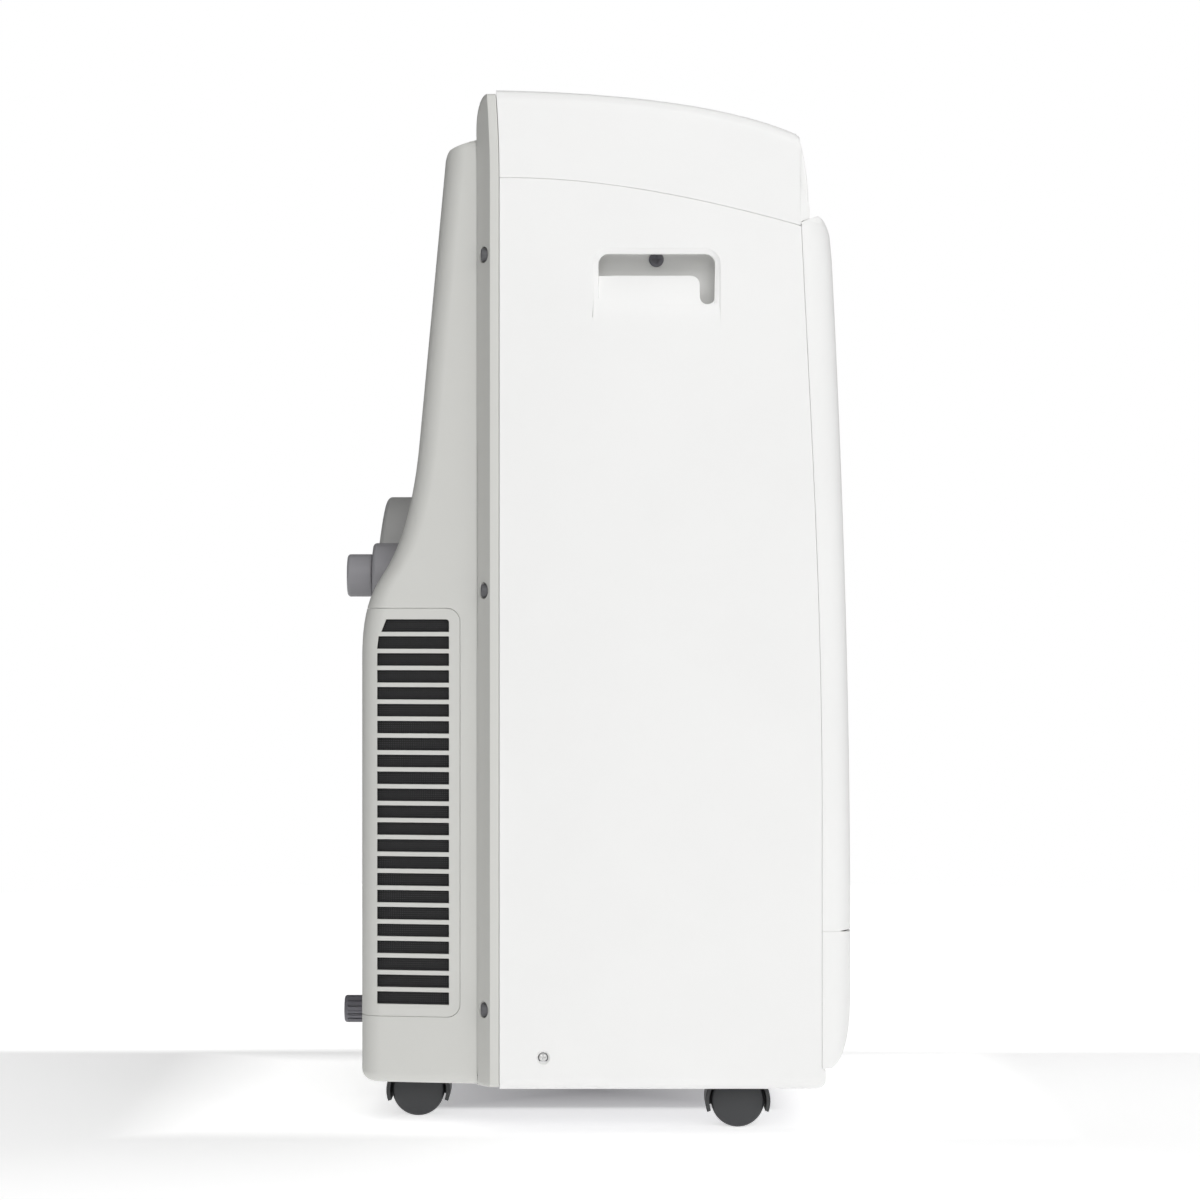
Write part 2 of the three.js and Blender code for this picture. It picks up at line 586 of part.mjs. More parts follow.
const hingeEars = [-1, 1].map((side) => cut(
  extrude("x", roundRect(-162, -149, 676.2, 685, 3),
    side < 0 ? -HALF_WIDTH + 1 : FLAP_NICHE.half, side < 0 ? -FLAP_NICHE.half : HALF_WIDTH - 1),
  rod("x", 2.2, -THROUGH, THROUGH, [0, FLAP_PIVOT.y, FLAP_PIVOT.z], 10)));

add("top_cover", WHITE, join(
  cut(
    extrude("x", coverOutline(0, COVER_FRONT, PANEL_REAR, 600), -HALF_WIDTH, HALF_WIDTH),
    extrude("x", coverOutline(WALL, FLAP_NICHE.wall + WALL, PANEL_REAR + 10, 590),
      WALL - HALF_WIDTH, HALF_WIDTH - WALL),
    extrude("x", underSeam, -THROUGH, THROUGH),
    box(-FLAP_NICHE.half, FLAP_NICHE.half, -THROUGH, FLAP_NICHE.wall, 600, 734.2),
    box(-MOUTH.half, MOUTH.half, -THROUGH, -140, MOUTH.low, MOUTH.high),
    tiltedBox(FASCIA.half + GAP, FASCIA.reach + GAP, -8, 20)),
  ...hingeEars));

// ---------------------------------------------------------------- control panel

const fascia = new THREE.Group();
fascia.position.set(0, FASCIA.y, FASCIA.z);
fascia.rotation.x = FASCIA.tilt;
casing.add(fascia);

const BUTTON_R = 5.2;
const PRESS = 1.5;
const DISPLAY = { low: -36, high: 18, reach: 10 };

const buttonHoles = Object.values(BUTTONS).map((x) =>
  rod("z", BUTTON_R + 0.5, -10, 10, [x, 0, 0], 10));
add("control_panel", BLACK, cut(
  box(-FASCIA.half, FASCIA.half, -FASCIA.reach, FASCIA.reach, -3, 0),
  box(DISPLAY.low, DISPLAY.high, -DISPLAY.reach, DISPLAY.reach, -5, 5),
  ...buttonHoles), fascia);
add("display_window", ENAMEL, box(
  DISPLAY.low + 0.3, DISPLAY.high - 0.3, 0.3 - DISPLAY.reach, DISPLAY.reach - 0.3, -3, 0.2), fascia);
const switches = Object.values(BUTTONS).map((x) => box(x - 3, x + 3, -3, 3, -9.5, -6 - PRESS - 0.3));
add("control_board", BOARD, join(
  box(-84, 84, -20, 20, -11, -9.4), ...switches), fascia);
for (const [name, x] of Object.entries(BUTTONS)) {
  add(`button_${name}`, WHITE, rod("z", BUTTON_R, -6, 1.2, [x, 0, 0], 10), fascia);
}

// ---------------------------------------------------------------- air outlet

const DUCT_REAR = 62;
const THROAT = { low: 20, high: 112 }; // the upper blower's outlet, along X
const vanePins = VANE_X.map((x) => rod("z", 2.4, 600, 800, [x, VANE_Y, 0], 10));
add("outlet_duct", BLACK, cut(
  box(-MOUTH.half - 2.5, MOUTH.half + 2.5, -147.5, DUCT_REAR, MOUTH.low - 2.5, MOUTH.high + 2.5),
  box(-MOUTH.half, MOUTH.half, -150, DUCT_REAR - 2.5, MOUTH.low, MOUTH.high),
  box(THROAT.low + 2, THROAT.high - 2, -20, 54, MOUTH.low - 5, MOUTH.low + 5),
  ...vanePins));

const flapShape = new THREE.Shape();
flapShape.moveTo(FLAP_PIVOT.y - FLAP_EDGE, FLAP_PIVOT.z);
flapShape.quadraticCurveTo(-161.6, 712, -155.6, 733.6);
flapShape.lineTo(-151.8, 733.6);
flapShape.quadraticCurveTo(-156.6, 712, FLAP_PIVOT.y + FLAP_EDGE, FLAP_PIVOT.z + 1);
flapShape.absarc(FLAP_PIVOT.y, FLAP_PIVOT.z, FLAP_EDGE, 0, Math.PI, true);
add("louver_flap", WHITE, join(
  extrude("x", flapShape, -FLAP_HALF, FLAP_HALF),
  rod("x", 1.7, -FLAP_HALF - 5, FLAP_HALF + 5, [0, FLAP_PIVOT.y, FLAP_PIVOT.z], 10)));
const LOUVER_MOTOR = { y: -134, z: 700, radius: 12, shaft: 2.5, low: 174, high: 196, end: 204 };
const louverAxis = [0, LOUVER_MOTOR.y, LOUVER_MOTOR.z];
add("louver_motor", STEEL, join(
  rod("x", LOUVER_MOTOR.radius, LOUVER_MOTOR.low, LOUVER_MOTOR.high, louverAxis, 14),
  rod("x", LOUVER_MOTOR.shaft, LOUVER_MOTOR.high - 6, LOUVER_MOTOR.end, louverAxis, 8)));

const LINK = { low: 705, high: 708, half: 3.4 };
VANE_X.forEach((x, index) => {
  const plate = cut(
    box(x - 1, x + 1, VANE_Y - 19, VANE_Y + 17, MOUTH.low + 1.5, MOUTH.high - 1.5),
    box(x - 5, x + 5, VANE_Y - 30, VANE_Y - 8, LINK.low - 4, LINK.high + 4));
  add(`vane_${index + 1}`, BLACK, join(
    plate,
    rod("z", 1.5, LINK.low - 5, LINK.high + 5, [x, VANE_Y - VANE_ARM, 0], 8),
    rod("z", 2, MOUTH.low - 2, MOUTH.high + 2, [x, VANE_Y, 0], 10)));
});
add("vane_link", BLACK, cut(
  box(VANE_X[0] - 6, VANE_X.at(-1) + 6, VANE_Y - VANE_ARM - LINK.half,
    VANE_Y - VANE_ARM + LINK.half, LINK.low, LINK.high),
  ...VANE_X.map((x) => rod("z", 2, 600, 800, [x, VANE_Y - VANE_ARM, 0], 10))));

// ---------------------------------------------------------------- upper blower and evaporator

// A squirrel-cage wheel on the Y axis, open towards +Y, with its hub bored for the motor shaft.
function blowerWheel(radius, low, high, x, z, blades) {
  const at = [x, 0, z];
  const fins = [];
  for (let i = 0; i < blades; i += 1) {
    const blade = new THREE.BoxGeometry(2, high - low - 2, 14);
    blade.translate(0, (low + high) / 2, radius - 9).rotateY((i / blades) * 2 * Math.PI);
    fins.push(solid(blade.translate(x, 0, z)));
  }
  const rim = turned("y", [
    [radius - 16, high - 3], [radius, high - 3], [radius, high], [radius - 16, high],
    [radius - 16, high - 3]], at, 18);
  return cut(
    join(rod("y", radius, low, low + 3, at, 18), rod("y", 14, low, low + 34, at, 10), rim, ...fins),
    rod("y", 4.6, low - 5, low + 60, at, 8));
}

const UPPER = { x: 0, z: 590, radius: 78, front: -24, rear: 60 };
add("upper_blower_wheel", BLACK,
  blowerWheel(UPPER.radius, UPPER.front + 8, UPPER.rear - 8, UPPER.x, UPPER.z, 12));
const upperScroll = (inset) => join(
  rod("y", 90 - inset, UPPER.front + inset, UPPER.rear - inset, [UPPER.x, 0, UPPER.z], 28),
  box(THROAT.low + inset, THROAT.high - inset, UPPER.front + inset, UPPER.rear - inset,
    UPPER.z + inset, MOUTH.low - 3 + (inset > 0 ? 5 : 0)));
add("upper_volute", BLACK, cut(
  upperScroll(0), upperScroll(2.5),
  rod("y", 58, UPPER.rear - 10, UPPER.rear + 10, [UPPER.x, 0, UPPER.z], 24),
  rod("y", 14, UPPER.front - 10, UPPER.front + 10, [UPPER.x, 0, UPPER.z], 14)));
add("upper_fan_motor", STEEL, join(
  rod("y", 42, UPPER.front - 62, UPPER.front - 0.5, [UPPER.x, 0, UPPER.z], 20),
  rod("y", 4, UPPER.front - 5, UPPER.front + 52, [UPPER.x, 0, UPPER.z], 10)));

// A finned block with end plates and the return bends that stand out of one end.
function coil({ half, front, rear, low, high, bends }) {
  const middle = (front + rear) / 2;
  const pitch = (high - low) / (bends + 1);
  const loops = [];
  for (let i = 1; i <= bends; i += 1) {
    const z = low + i * pitch;
    loops.push(tube([
      [half - 4, middle, z - 8], [half + 6, middle, z - 8], [half + 10, middle, z],
      [half + 6, middle, z + 8], [half - 4, middle, z + 8]], 3.5, 6, 5));
  }
  return join(box(-half, half, front, rear, low, high), ...loops);
}

const EVAPORATOR = { half: 160, front: 72, rear: 97, low: 507, high: 700, bends: 6 };
const PAN = { half: 176, front: 65, rear: 106, low: 484, high: 503, wall: 2.5, floor: 3 };
const DRAIN_PIPE = { y: 96, outer: 8, bore: 5 };

add("evaporator_coil", ALUMINIUM, coil(EVAPORATOR));

// The pan's drain pipe, from its floor down and back to the middle drain.
function drainPipe(radius, top, end) {
  const route = [[DRAIN_PIPE.y, top], [97, 455], [106, 425], [122, 413], [end, MID_DRAIN.z]];
  return tube(route.map(([y, z]) => [MID_DRAIN.x, y, z]), radius, 8, 8);
}

add("drip_pan", FOAM, join(
  cut(
    box(-PAN.half, PAN.half, PAN.front, PAN.rear, PAN.low, PAN.high),
    box(PAN.wall - PAN.half, PAN.half - PAN.wall, PAN.front + PAN.wall, PAN.rear - PAN.wall,
      PAN.low + PAN.floor, PAN.high + 5),
    rod("z", DRAIN_PIPE.bore, PAN.low - 5, PAN.low + 5, [MID_DRAIN.x, DRAIN_PIPE.y, 0], 10)),
  cut(
    drainPipe(DRAIN_PIPE.outer, PAN.low + 1, 136),
    drainPipe(DRAIN_PIPE.bore, PAN.low + 8, 144))));

// ---------------------------------------------------------------- lower blower and condenser

const LOWER = { x: 85, z: 190, radius: 88, front: 20, rear: 105 };
add("lower_blower_wheel", BLACK,
  blowerWheel(LOWER.radius, LOWER.front + 8, LOWER.rear - 8, LOWER.x, LOWER.z, 12));
const lowerScroll = (inset) => join(
  rod("y", 100 - inset, LOWER.front + inset, LOWER.rear - inset, [LOWER.x, 0, LOWER.z], 28),
  box(-70 + inset, 30 - inset, LOWER.front + inset, LOWER.rear - inset,
    LOWER.z + inset, 476 - inset),
  box(inset, 70 - inset, LOWER.front + inset, LOWER.rear - inset, 330 + inset, 476 - inset));
add("lower_volute", FOAM, cut(
  lowerScroll(0), lowerScroll(3),
  rod("y", 66, LOWER.rear - 10, LOWER.rear + 10, [LOWER.x, 0, LOWER.z], 24),
  rod("y", 14, LOWER.front - 10, LOWER.front + 10, [LOWER.x, 0, LOWER.z], 14),
  rod("y", EXHAUST_BORE, LOWER.rear - 10, LOWER.rear + 10, [0, 0, EXHAUST_Z], 24)));
add("lower_fan_motor", STEEL, join(
  rod("y", 44, LOWER.front - 66, LOWER.front - 0.5, [LOWER.x, 0, LOWER.z], 20),
  rod("y", 4, LOWER.front - 5, LOWER.front + 52, [LOWER.x, 0, LOWER.z], 10)));
const CONDENSER = { half: 158, front: 122, rear: 158, low: 86, high: 322, bends: 8 };
add("condenser_coil", ALUMINIUM, coil(CONDENSER));

const SPLASH = { x: -110, z: 92 };
add("splash_motor", STEEL, join(
  rod("y", 15, 72, 104, [SPLASH.x, 0, SPLASH.z], 14),
  rod("y", 2, 100, 117, [SPLASH.x, 0, SPLASH.z], 8)));
add("splash_wheel", BLACK, cut(
  rod("y", 30, 110, 114, [SPLASH.x, 0, SPLASH.z], 20),
  rod("y", 2.4, 100, 120, [SPLASH.x, 0, SPLASH.z], 8)));

// ---------------------------------------------------------------- refrigerant circuit

const COMPRESSOR = { x: -115, y: -75, low: 54.5, high: 275, radius: 58 };
add("compressor", ENAMEL, turned("z", [
  [0, COMPRESSOR.low], [50, COMPRESSOR.low], [50, COMPRESSOR.low + 12],
  [COMPRESSOR.radius, COMPRESSOR.low + 20], [COMPRESSOR.radius, COMPRESSOR.high - 26],
  [44, COMPRESSOR.high - 7], [0, COMPRESSOR.high],
], [COMPRESSOR.x, COMPRESSOR.y, 0], 24));
const ACCUMULATOR = { x: -25, y: -105, low: 90, high: 220, radius: 24 };
add("accumulator", ENAMEL, turned("z", [
  [0, ACCUMULATOR.low - 34], [6, ACCUMULATOR.low - 34], [6, ACCUMULATOR.low],
  [ACCUMULATOR.radius, ACCUMULATOR.low + 10], [ACCUMULATOR.radius, ACCUMULATOR.high - 12],
  [6, ACCUMULATOR.high], [0, ACCUMULATOR.high],
], [ACCUMULATOR.x, ACCUMULATOR.y, 0], 18));
const SUCTION_R = 6;
const DISCHARGE_R = 4;
add("suction_pipe", COPPER, tube([
  [ACCUMULATOR.x, ACCUMULATOR.y, ACCUMULATOR.high + GAP], [ACCUMULATOR.x, ACCUMULATOR.y, 300],
  [-60, -100, 380], [-140, -60, 430], [-187, 0, 460], [-188, 60, 500], [-188, 84, 560],
  [-182, 84, 598], [-163, 84, 604]], SUCTION_R, 6, 24));
add("discharge_pipe", COPPER, tube([
  [COMPRESSOR.x, COMPRESSOR.y, COMPRESSOR.high + GAP], [-118, -72, 315], [-160, -40, 350],
  [-186, 20, 352], [-187, 90, 340], [-181, 128, 318], [-175, 139, 298],
  [-161, 140, 292]], DISCHARGE_R, 6, 24));

// ---------------------------------------------------------------- electrics

const CABINET = { left: 60, right: 190, front: -144, rear: -98, low: 300, high: 470, wall: 2 };
const CAPACITOR = { x: 150, y: -121, radius: 18, height: 76 };
add("electrical_box", STEEL, cut(
  box(CABINET.left, CABINET.right, CABINET.front, CABINET.rear, CABINET.low, CABINET.high),
  box(CABINET.left + CABINET.wall, CABINET.right - CABINET.wall, CABINET.front + CABINET.wall,
    CABINET.rear + 10, CABINET.low + CABINET.wall, CABINET.high - CABINET.wall)));
const shelf = CABINET.low + CABINET.wall + GAP;
add("run_capacitor", ALUMINIUM, rod(
  "z", CAPACITOR.radius, shelf, shelf + CAPACITOR.height, [CAPACITOR.x, CAPACITOR.y, 0], 16));

// ---------------------------------------------------------------- casters

const HOOD_R = 24.5;
const RIM_SIDES = 20;
const RIM_R = WHEEL_R / Math.cos(Math.PI / RIM_SIDES); // a flat of the rim lies on the floor
const FORK_WEB = 3;

function casterFork({ x, y }) {
  const axle = [x, y + TRAIL, WHEEL_R];
  const cavities = [[-30, -FORK_WEB], [FORK_WEB, 30]].map(([low, high]) =>
    rod("x", HOOD_R - WALL, low, high, axle, 18));
  return cut(
    join(
      rod("x", HOOD_R, -17, 17, axle, 18),
      rod("z", 9, 36, 48.5, [x, y, 0], 10),
      rod("z", 5, 40, 61, [x, y, 0], 8)),
    ...cavities,
    rod("x", 3.5, -40, 40, axle, 8),
    box(x - 50, x + 50, y - 50, y + 80, -20, 11));
}

function casterWheel({ x, y }) {
  const profile = [
    [0, -14], [0, 14], [RIM_R, 14], [RIM_R, FORK_WEB + 1], [3, FORK_WEB + 1],
    [3, -FORK_WEB - 1], [RIM_R, -FORK_WEB - 1], [RIM_R, -14], [0, -14]];
  const points = profile.map(([radius, along]) => new THREE.Vector2(radius, along));
  const wheel = new THREE.LatheGeometry(points, RIM_SIDES, Math.PI / RIM_SIDES).rotateZ(-Math.PI / 2);
  return solid(wheel.translate(x, y + TRAIL, WHEEL_R));
}

for (const [place, caster] of Object.entries(CASTERS)) {
  add(`caster_${place}_fork`, DARK_GREY, casterFork(caster), unit);
  add(`caster_${place}_wheels`, RUBBER, casterWheel(caster), unit);
}

export default unit;
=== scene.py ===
import math

import bmesh
import bpy
import numpy as np
from mathutils import Matrix, Vector


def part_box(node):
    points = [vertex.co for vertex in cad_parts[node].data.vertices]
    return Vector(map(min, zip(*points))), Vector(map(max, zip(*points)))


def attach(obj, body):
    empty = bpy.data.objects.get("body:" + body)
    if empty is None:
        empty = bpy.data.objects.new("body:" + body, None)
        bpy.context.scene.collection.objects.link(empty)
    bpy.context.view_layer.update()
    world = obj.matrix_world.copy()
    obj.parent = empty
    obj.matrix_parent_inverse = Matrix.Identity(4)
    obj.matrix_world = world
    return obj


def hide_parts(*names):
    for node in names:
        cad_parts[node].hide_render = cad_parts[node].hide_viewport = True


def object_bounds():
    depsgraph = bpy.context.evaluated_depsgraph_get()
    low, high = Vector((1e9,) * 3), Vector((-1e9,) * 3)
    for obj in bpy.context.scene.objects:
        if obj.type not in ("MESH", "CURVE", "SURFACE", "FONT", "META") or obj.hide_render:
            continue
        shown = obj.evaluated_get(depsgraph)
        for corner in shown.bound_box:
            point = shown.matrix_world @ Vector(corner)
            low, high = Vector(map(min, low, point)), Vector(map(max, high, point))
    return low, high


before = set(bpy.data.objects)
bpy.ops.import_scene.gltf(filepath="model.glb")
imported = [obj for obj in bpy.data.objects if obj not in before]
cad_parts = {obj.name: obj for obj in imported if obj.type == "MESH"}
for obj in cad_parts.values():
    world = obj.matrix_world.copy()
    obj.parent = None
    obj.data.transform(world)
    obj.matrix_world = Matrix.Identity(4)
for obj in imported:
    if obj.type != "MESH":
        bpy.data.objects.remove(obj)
cad_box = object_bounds()

# Shapes are written in millimetres from the casing's datum plane: X to the unit's right, -Y to
# its front, +Z up. Cutters reach past what they cut by a round amount.
MM = 0.001
SKIRT_Z = 31
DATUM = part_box("left_side_panel")[0].z / MM - SKIRT_Z

# ------------------------------------------------------------------ camera

EYE_HEIGHT = 0.396
EYE_DISTANCE = 2.5  # from the eye to the left side panel
EYE_Y = -0.0065
FRAME_WIDTH = 0.89016  # what the picture spans at the left side panel
SENSOR = 36
FARTHEST = 60

camera_data = bpy.data.cameras.new("camera")
camera = bpy.data.objects.new("camera", camera_data)
bpy.context.scene.collection.objects.link(camera)
camera.location = (cad_box[0][0] - EYE_DISTANCE, EYE_Y, EYE_HEIGHT)
camera.rotation_euler = (math.radians(90), 0, math.radians(-90))
camera_data.sensor_width = SENSOR
camera_data.lens = SENSOR * EYE_DISTANCE / FRAME_WIDTH
camera_data.clip_end = FARTHEST
bpy.context.scene.camera = camera

# ------------------------------------------------------------------ outlines


def trace(start, *stretches, steps=24):
    """Points along a path of lines and Bezier curves. Each stretch lists its control points."""
    points = [np.array(start, float)]
    for stretch in stretches:
        control = [points[-1], *(np.array(p, float) for p in stretch)]
        degree = len(control) - 1
        count = steps if degree > 1 else 1
        for i in range(1, count + 1):
            t = i / count
            points.append(sum(
                math.comb(degree, k) * (1 - t) ** (degree - k) * t ** k * control[k]
                for k in range(degree + 1)))
    return [tuple(p) for p in points]


def reader(points, along=1):
    """The other coordinate as a function of the one that a path runs along."""
    ordered = sorted(points, key=lambda p: p[along])
    places = [p[along] for p in ordered]
    values = [p[1 - along] for p in ordered]
    return lambda v: float(np.interp(v, places, values))


def arc(a, b, radius, start, end, steps=8):
    """Points on a circle about (a, b), between two angles in degrees."""
    turns = np.radians(np.linspace(start, end, steps + 1))
    return [(a + radius * math.cos(t), b + radius * math.sin(t)) for t in turns]


def round_rect(a0, a1, b0, b1, radius, steps=8):
    """A rectangle from a0 to a1 and from b0 to b1, with round corners."""
    return [
        *arc(a1 - radius, b0 + radius, radius, -90, 0, steps),
        *arc(a1 - radius, b1 - radius, radius, 0, 90, steps),
        *arc(a0 + radius, b1 - radius, radius, 90, 180, steps),
        *arc(a0 + radius, b0 + radius, radius, 180, 270, steps)]


# ------------------------------------------------------------------ meshes

WELD = 2e-6  # points closer than this are one point, in metres
AXES = {
    "x": lambda a, b, s: (s, a, b),
    "y": lambda a, b, s: (a, s, b),
    "z": lambda a, b, s: (a, b, s)}


def solid(name, vertices, faces):
    """A closed mesh from points in millimetres, with its faces turned outwards."""
    mesh = bpy.data.meshes.new(name)
    mesh.from_pydata([(x * MM, y * MM, (z + DATUM) * MM) for x, y, z in vertices], [], faces)
    work = bmesh.new()
    work.from_mesh(mesh)
    bmesh.ops.remove_doubles(work, verts=work.verts, dist=WELD / 20)
    bmesh.ops.recalc_face_normals(work, faces=work.faces)
    work.to_mesh(mesh)
    work.free()
    piece = bpy.data.objects.new(name, mesh)
    bpy.context.scene.collection.objects.link(piece)
    return piece


def loft(name, rings, closed=False):
    """Rings of equal length joined into a solid, closed on itself or capped at both ends."""
    count = len(rings[0])
    vertices = [point for ring in rings for point in ring]
    levels = len(rings)
    faces = []
    for level in range(levels if closed else levels - 1):
        base, above = level * count, (level + 1) % levels * count
        for i in range(count):
            j = (i + 1) % count
            faces.append((base + i, base + j, above + j, above + i))
    if not closed:
        faces += [tuple(range(count)), tuple(range((levels - 1) * count, levels * count))]
    return solid(name, vertices, faces)


def prism(name, axis, outline, low, high):
    """An outline pushed along an axis."""
    place = AXES[axis]
    return loft(name, [[place(a, b, s) for a, b in outline] for s in (low, high)])


def box(name, x0, x1, y0, y1, z0, z1):
    return prism(name, "z", [(x0, y0), (x1, y0), (x1, y1), (x0, y1)], z0, z1)


def lathe(name, axis, profile, centre, segments=64):
    """A closed profile of (radius, distance along the axis), turned about an axis."""
    place = AXES[axis]
    offset = np.array(centre, float)
    rings = []
    for turn in np.linspace(0, 2 * math.pi, segments, endpoint=False):
        rings.append([
            tuple(np.array(place(r * math.cos(turn), r * math.sin(turn), s)) + offset)
            for r, s in profile])
    return loft(name, rings, closed=True)


def rod(name, axis, radius, low, high, centre, segments=48):
    """A round bar along an axis."""
    turns = np.linspace(0, 2 * math.pi, segments, endpoint=False)
    place = AXES[axis]
    offset = np.array(centre, float)
    rings = [[
        tuple(np.array(place(radius * math.cos(t), radius * math.sin(t), s)) + offset)
        for t in turns] for s in (low, high)]
    return loft(name, rings)


def bake(piece):
    """Applies a piece's modifiers to its mesh."""
    bpy.context.view_layer.update()
    evaluated = piece.evaluated_get(bpy.context.evaluated_depsgraph_get())
    mesh = bpy.data.meshes.new_from_object(evaluated)
    piece.modifiers.clear()
    old = piece.data
    piece.data = mesh
    bpy.data.meshes.remove(old)
    return piece


def group(pieces):
    """Several separate solids as one mesh."""
    first, *others = pieces
    work = bmesh.new()
    for piece in pieces:
        work.from_mesh(piece.data)
    work.to_mesh(first.data)
    work.free()
    for piece in others:
        bpy.data.objects.remove(piece)
    return first


def combine(piece, other, operation):
    """Adds another solid to a piece, cuts it out, or keeps what both fill. The other is used up."""
    modifier = piece.modifiers.new("combine", "BOOLEAN")
    modifier.operation = operation
    modifier.solver = "EXACT"
    modifier.object = other
    bake(piece)
    bpy.data.objects.remove(other)
    work = bmesh.new()
    work.from_mesh(piece.data)
    bmesh.ops.remove_doubles(work, verts=work.verts, dist=WELD)
    bmesh.ops.dissolve_degenerate(work, edges=work.edges, dist=WELD / 2)
    work.to_mesh(piece.data)
    work.free()
    return piece


def cut(piece, *cutters):
    return combine(piece, group(cutters), "DIFFERENCE")


def join(piece, *others):
    for other in others:
        combine(piece, other, "UNION")
    return piece


def common(piece, other):
    return combine(piece, other, "INTERSECT")


def warp(piece, change):
    """Moves each vertex by a function of its place in millimetres."""
    for vertex in piece.data.vertices:
        x, y, z = vertex.co / MM
        x, y, z = change(x, y, z - DATUM)
        vertex.co = Vector((x, y, z + DATUM)) * MM
    piece.data.update()
    return piece


def slice_across(piece, levels):
    """Adds rows of vertices at some heights, so that a warp can bend the faces between them."""
    work = bmesh.new()
    work.from_mesh(piece.data)
    for z in levels:
        bmesh.ops.bisect_plane(
            work, geom=[*work.verts, *work.edges, *work.faces],
            plane_co=(0, 0, (z + DATUM) * MM), plane_no=(0, 0, 1))
    work.to_mesh(piece.data)
    work.free()
    return piece


def dress(piece, body, material, replaced=(), edge=0.5, angle=35, segments=2):
    """Softens a piece's edges, gives it its material, and hangs it on its body."""
    mesh = piece.data
    mesh.materials.clear()
    mesh.materials.append(material)
    for polygon in mesh.polygons:
        polygon.material_index = 0
        polygon.use_smooth = True
    if edge:
        bevel = piece.modifiers.new("edges", "BEVEL")
        bevel.width = edge * MM
        bevel.segments = segments
        bevel.limit_method = "ANGLE"
        bevel.angle_limit = math.radians(angle)
        bevel.use_clamp_overlap = False
    else:
        mesh.set_sharp_from_angle(angle=math.radians(angle))
    normals = piece.modifiers.new("normals", "WEIGHTED_NORMAL")
    normals.keep_sharp = True
    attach(piece, body)
    if replaced:
        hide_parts(*replaced)
    return piece


# ------------------------------------------------------------------ materials


def srgb(*levels):
    """Linear colour from 0-255 sRGB levels."""
    return (*(
        v / 255 / 12.92 if v <= 10 else ((v / 255 + 0.055) / 1.055) ** 2.4 for v in levels), 1)


class Nodes:
    """A node tree, with a short way to add each kind of node that is used more than once."""

    def __init__(self, tree):
        self.tree = tree

    def node(self, kind, links=(), **values):
        """A node with the given sockets linked and its other sockets or settings given by name."""
        made = self.tree.nodes.new(kind)
        for name, value in values.items():
            if name in made.inputs:
                made.inputs[name].default_value = value
            else:
                setattr(made, name, value)
        for socket, source in dict(links).items():
            self.tree.links.new(source, made.inputs[socket])
        return made

    def maths(self, operation, one, other):
        return self.node("ShaderNodeMath", {0: one, 1: other}, operation=operation).outputs[0]

    def spread(self, factor, low, high, start=0.0, end=1.0, **settings):
        """A value that runs from low to high while its factor runs from start to end."""
        made = self.node("ShaderNodeMapRange", {"Value": factor}, **settings)
        made.inputs["From Min"].default_value = start
        made.inputs["From Max"].default_value = end
        made.inputs["To Min"].default_value = low
        made.inputs["To Max"].default_value = high
        return made.outputs["Result"]


class Material(Nodes):
    """A Principled material whose colour, roughness and bump come from procedural nodes."""

    def __init__(self, name, **sockets):
        self.data = bpy.data.materials.new(name)
        self.data.use_nodes = True
        super().__init__(self.data.node_tree)
        self.shader = self.tree.nodes["Principled BSDF"]
        for socket, value in sockets.items():
            self.shader.inputs[socket.replace("_", " ")].default_value = value
        self.place = self.node("ShaderNodeTexCoord").outputs["Object"]

    def link(self, source, socket):
        self.tree.links.new(source, self.shader.inputs[socket])

    def noise(self, scale, detail=2.0):
        made = self.node("ShaderNodeTexNoise", {"Vector": self.place}, Scale=scale, Detail=detail)
        return made.outputs["Fac"]

    def wave(self, direction, pitch):
        """Bands of light and dark with a given pitch in millimetres."""
        made = self.node(
            "ShaderNodeTexWave", {"Vector": self.place}, wave_type="BANDS",
            bands_direction=direction, Scale=2 * math.pi / (20 * pitch * MM))
        return made.outputs["Fac"]

    def tones(self, factor, dark, light):
        """A colour between two, with most of the change in the middle of the factor."""
        ramp = self.node("ShaderNodeValToRGB", {"Fac": factor})
        for stop, place, colour in zip(ramp.color_ramp.elements, (0.35, 0.65), (dark, light)):
            stop.position = place
            stop.color = colour
        return ramp.outputs["Color"]

    def bump(self, height, strength, distance):
        made = self.node("ShaderNodeBump", {"Height": height}, Strength=strength)
        made.inputs["Distance"].default_value = distance * MM
        self.link(made.outputs["Normal"], "Normal")


def moulded(name, colour, roughness, grain=0.25, pitch=0.5, **sockets):
    """Moulded or painted stock: faint clouding, a fine grain and slightly uneven gloss."""
    made = Material(name, **sockets)
    dark = srgb(*(v * 0.997 for v in colour))
    light = srgb(*(min(255, v * 1.003) for v in colour))
    made.link(made.tones(made.noise(9), dark, light), "Base Color")
    made.link(made.spread(made.noise(40, 4), roughness - 0.05, roughness + 0.05), "Roughness")
    made.bump(made.noise(1 / (pitch * MM)), grain, 0.02)
    return made.data


def metal(name, colour, roughness, pitch, direction=None):
    """Sheet, cast or drawn metal: brushed or finned where a direction is named."""
    made = Material(name, Metallic=1.0)
    dark = srgb(*(v * 0.8 for v in colour))
    if direction:
        lines = made.wave(direction, pitch)
        made.link(made.tones(lines, srgb(*(v * 0.25 for v in colour)), srgb(*colour)), "Base Color")
        made.bump(lines, 0.6, 0.4)
    else:
        made.link(made.tones(made.noise(60, 4), dark, srgb(*colour)), "Base Color")
        made.bump(made.noise(1 / (pitch * MM)), 0.15, 0.05)
    made.link(made.spread(made.noise(90, 3), roughness - 0.08, roughness + 0.08), "Roughness")
    return made.data


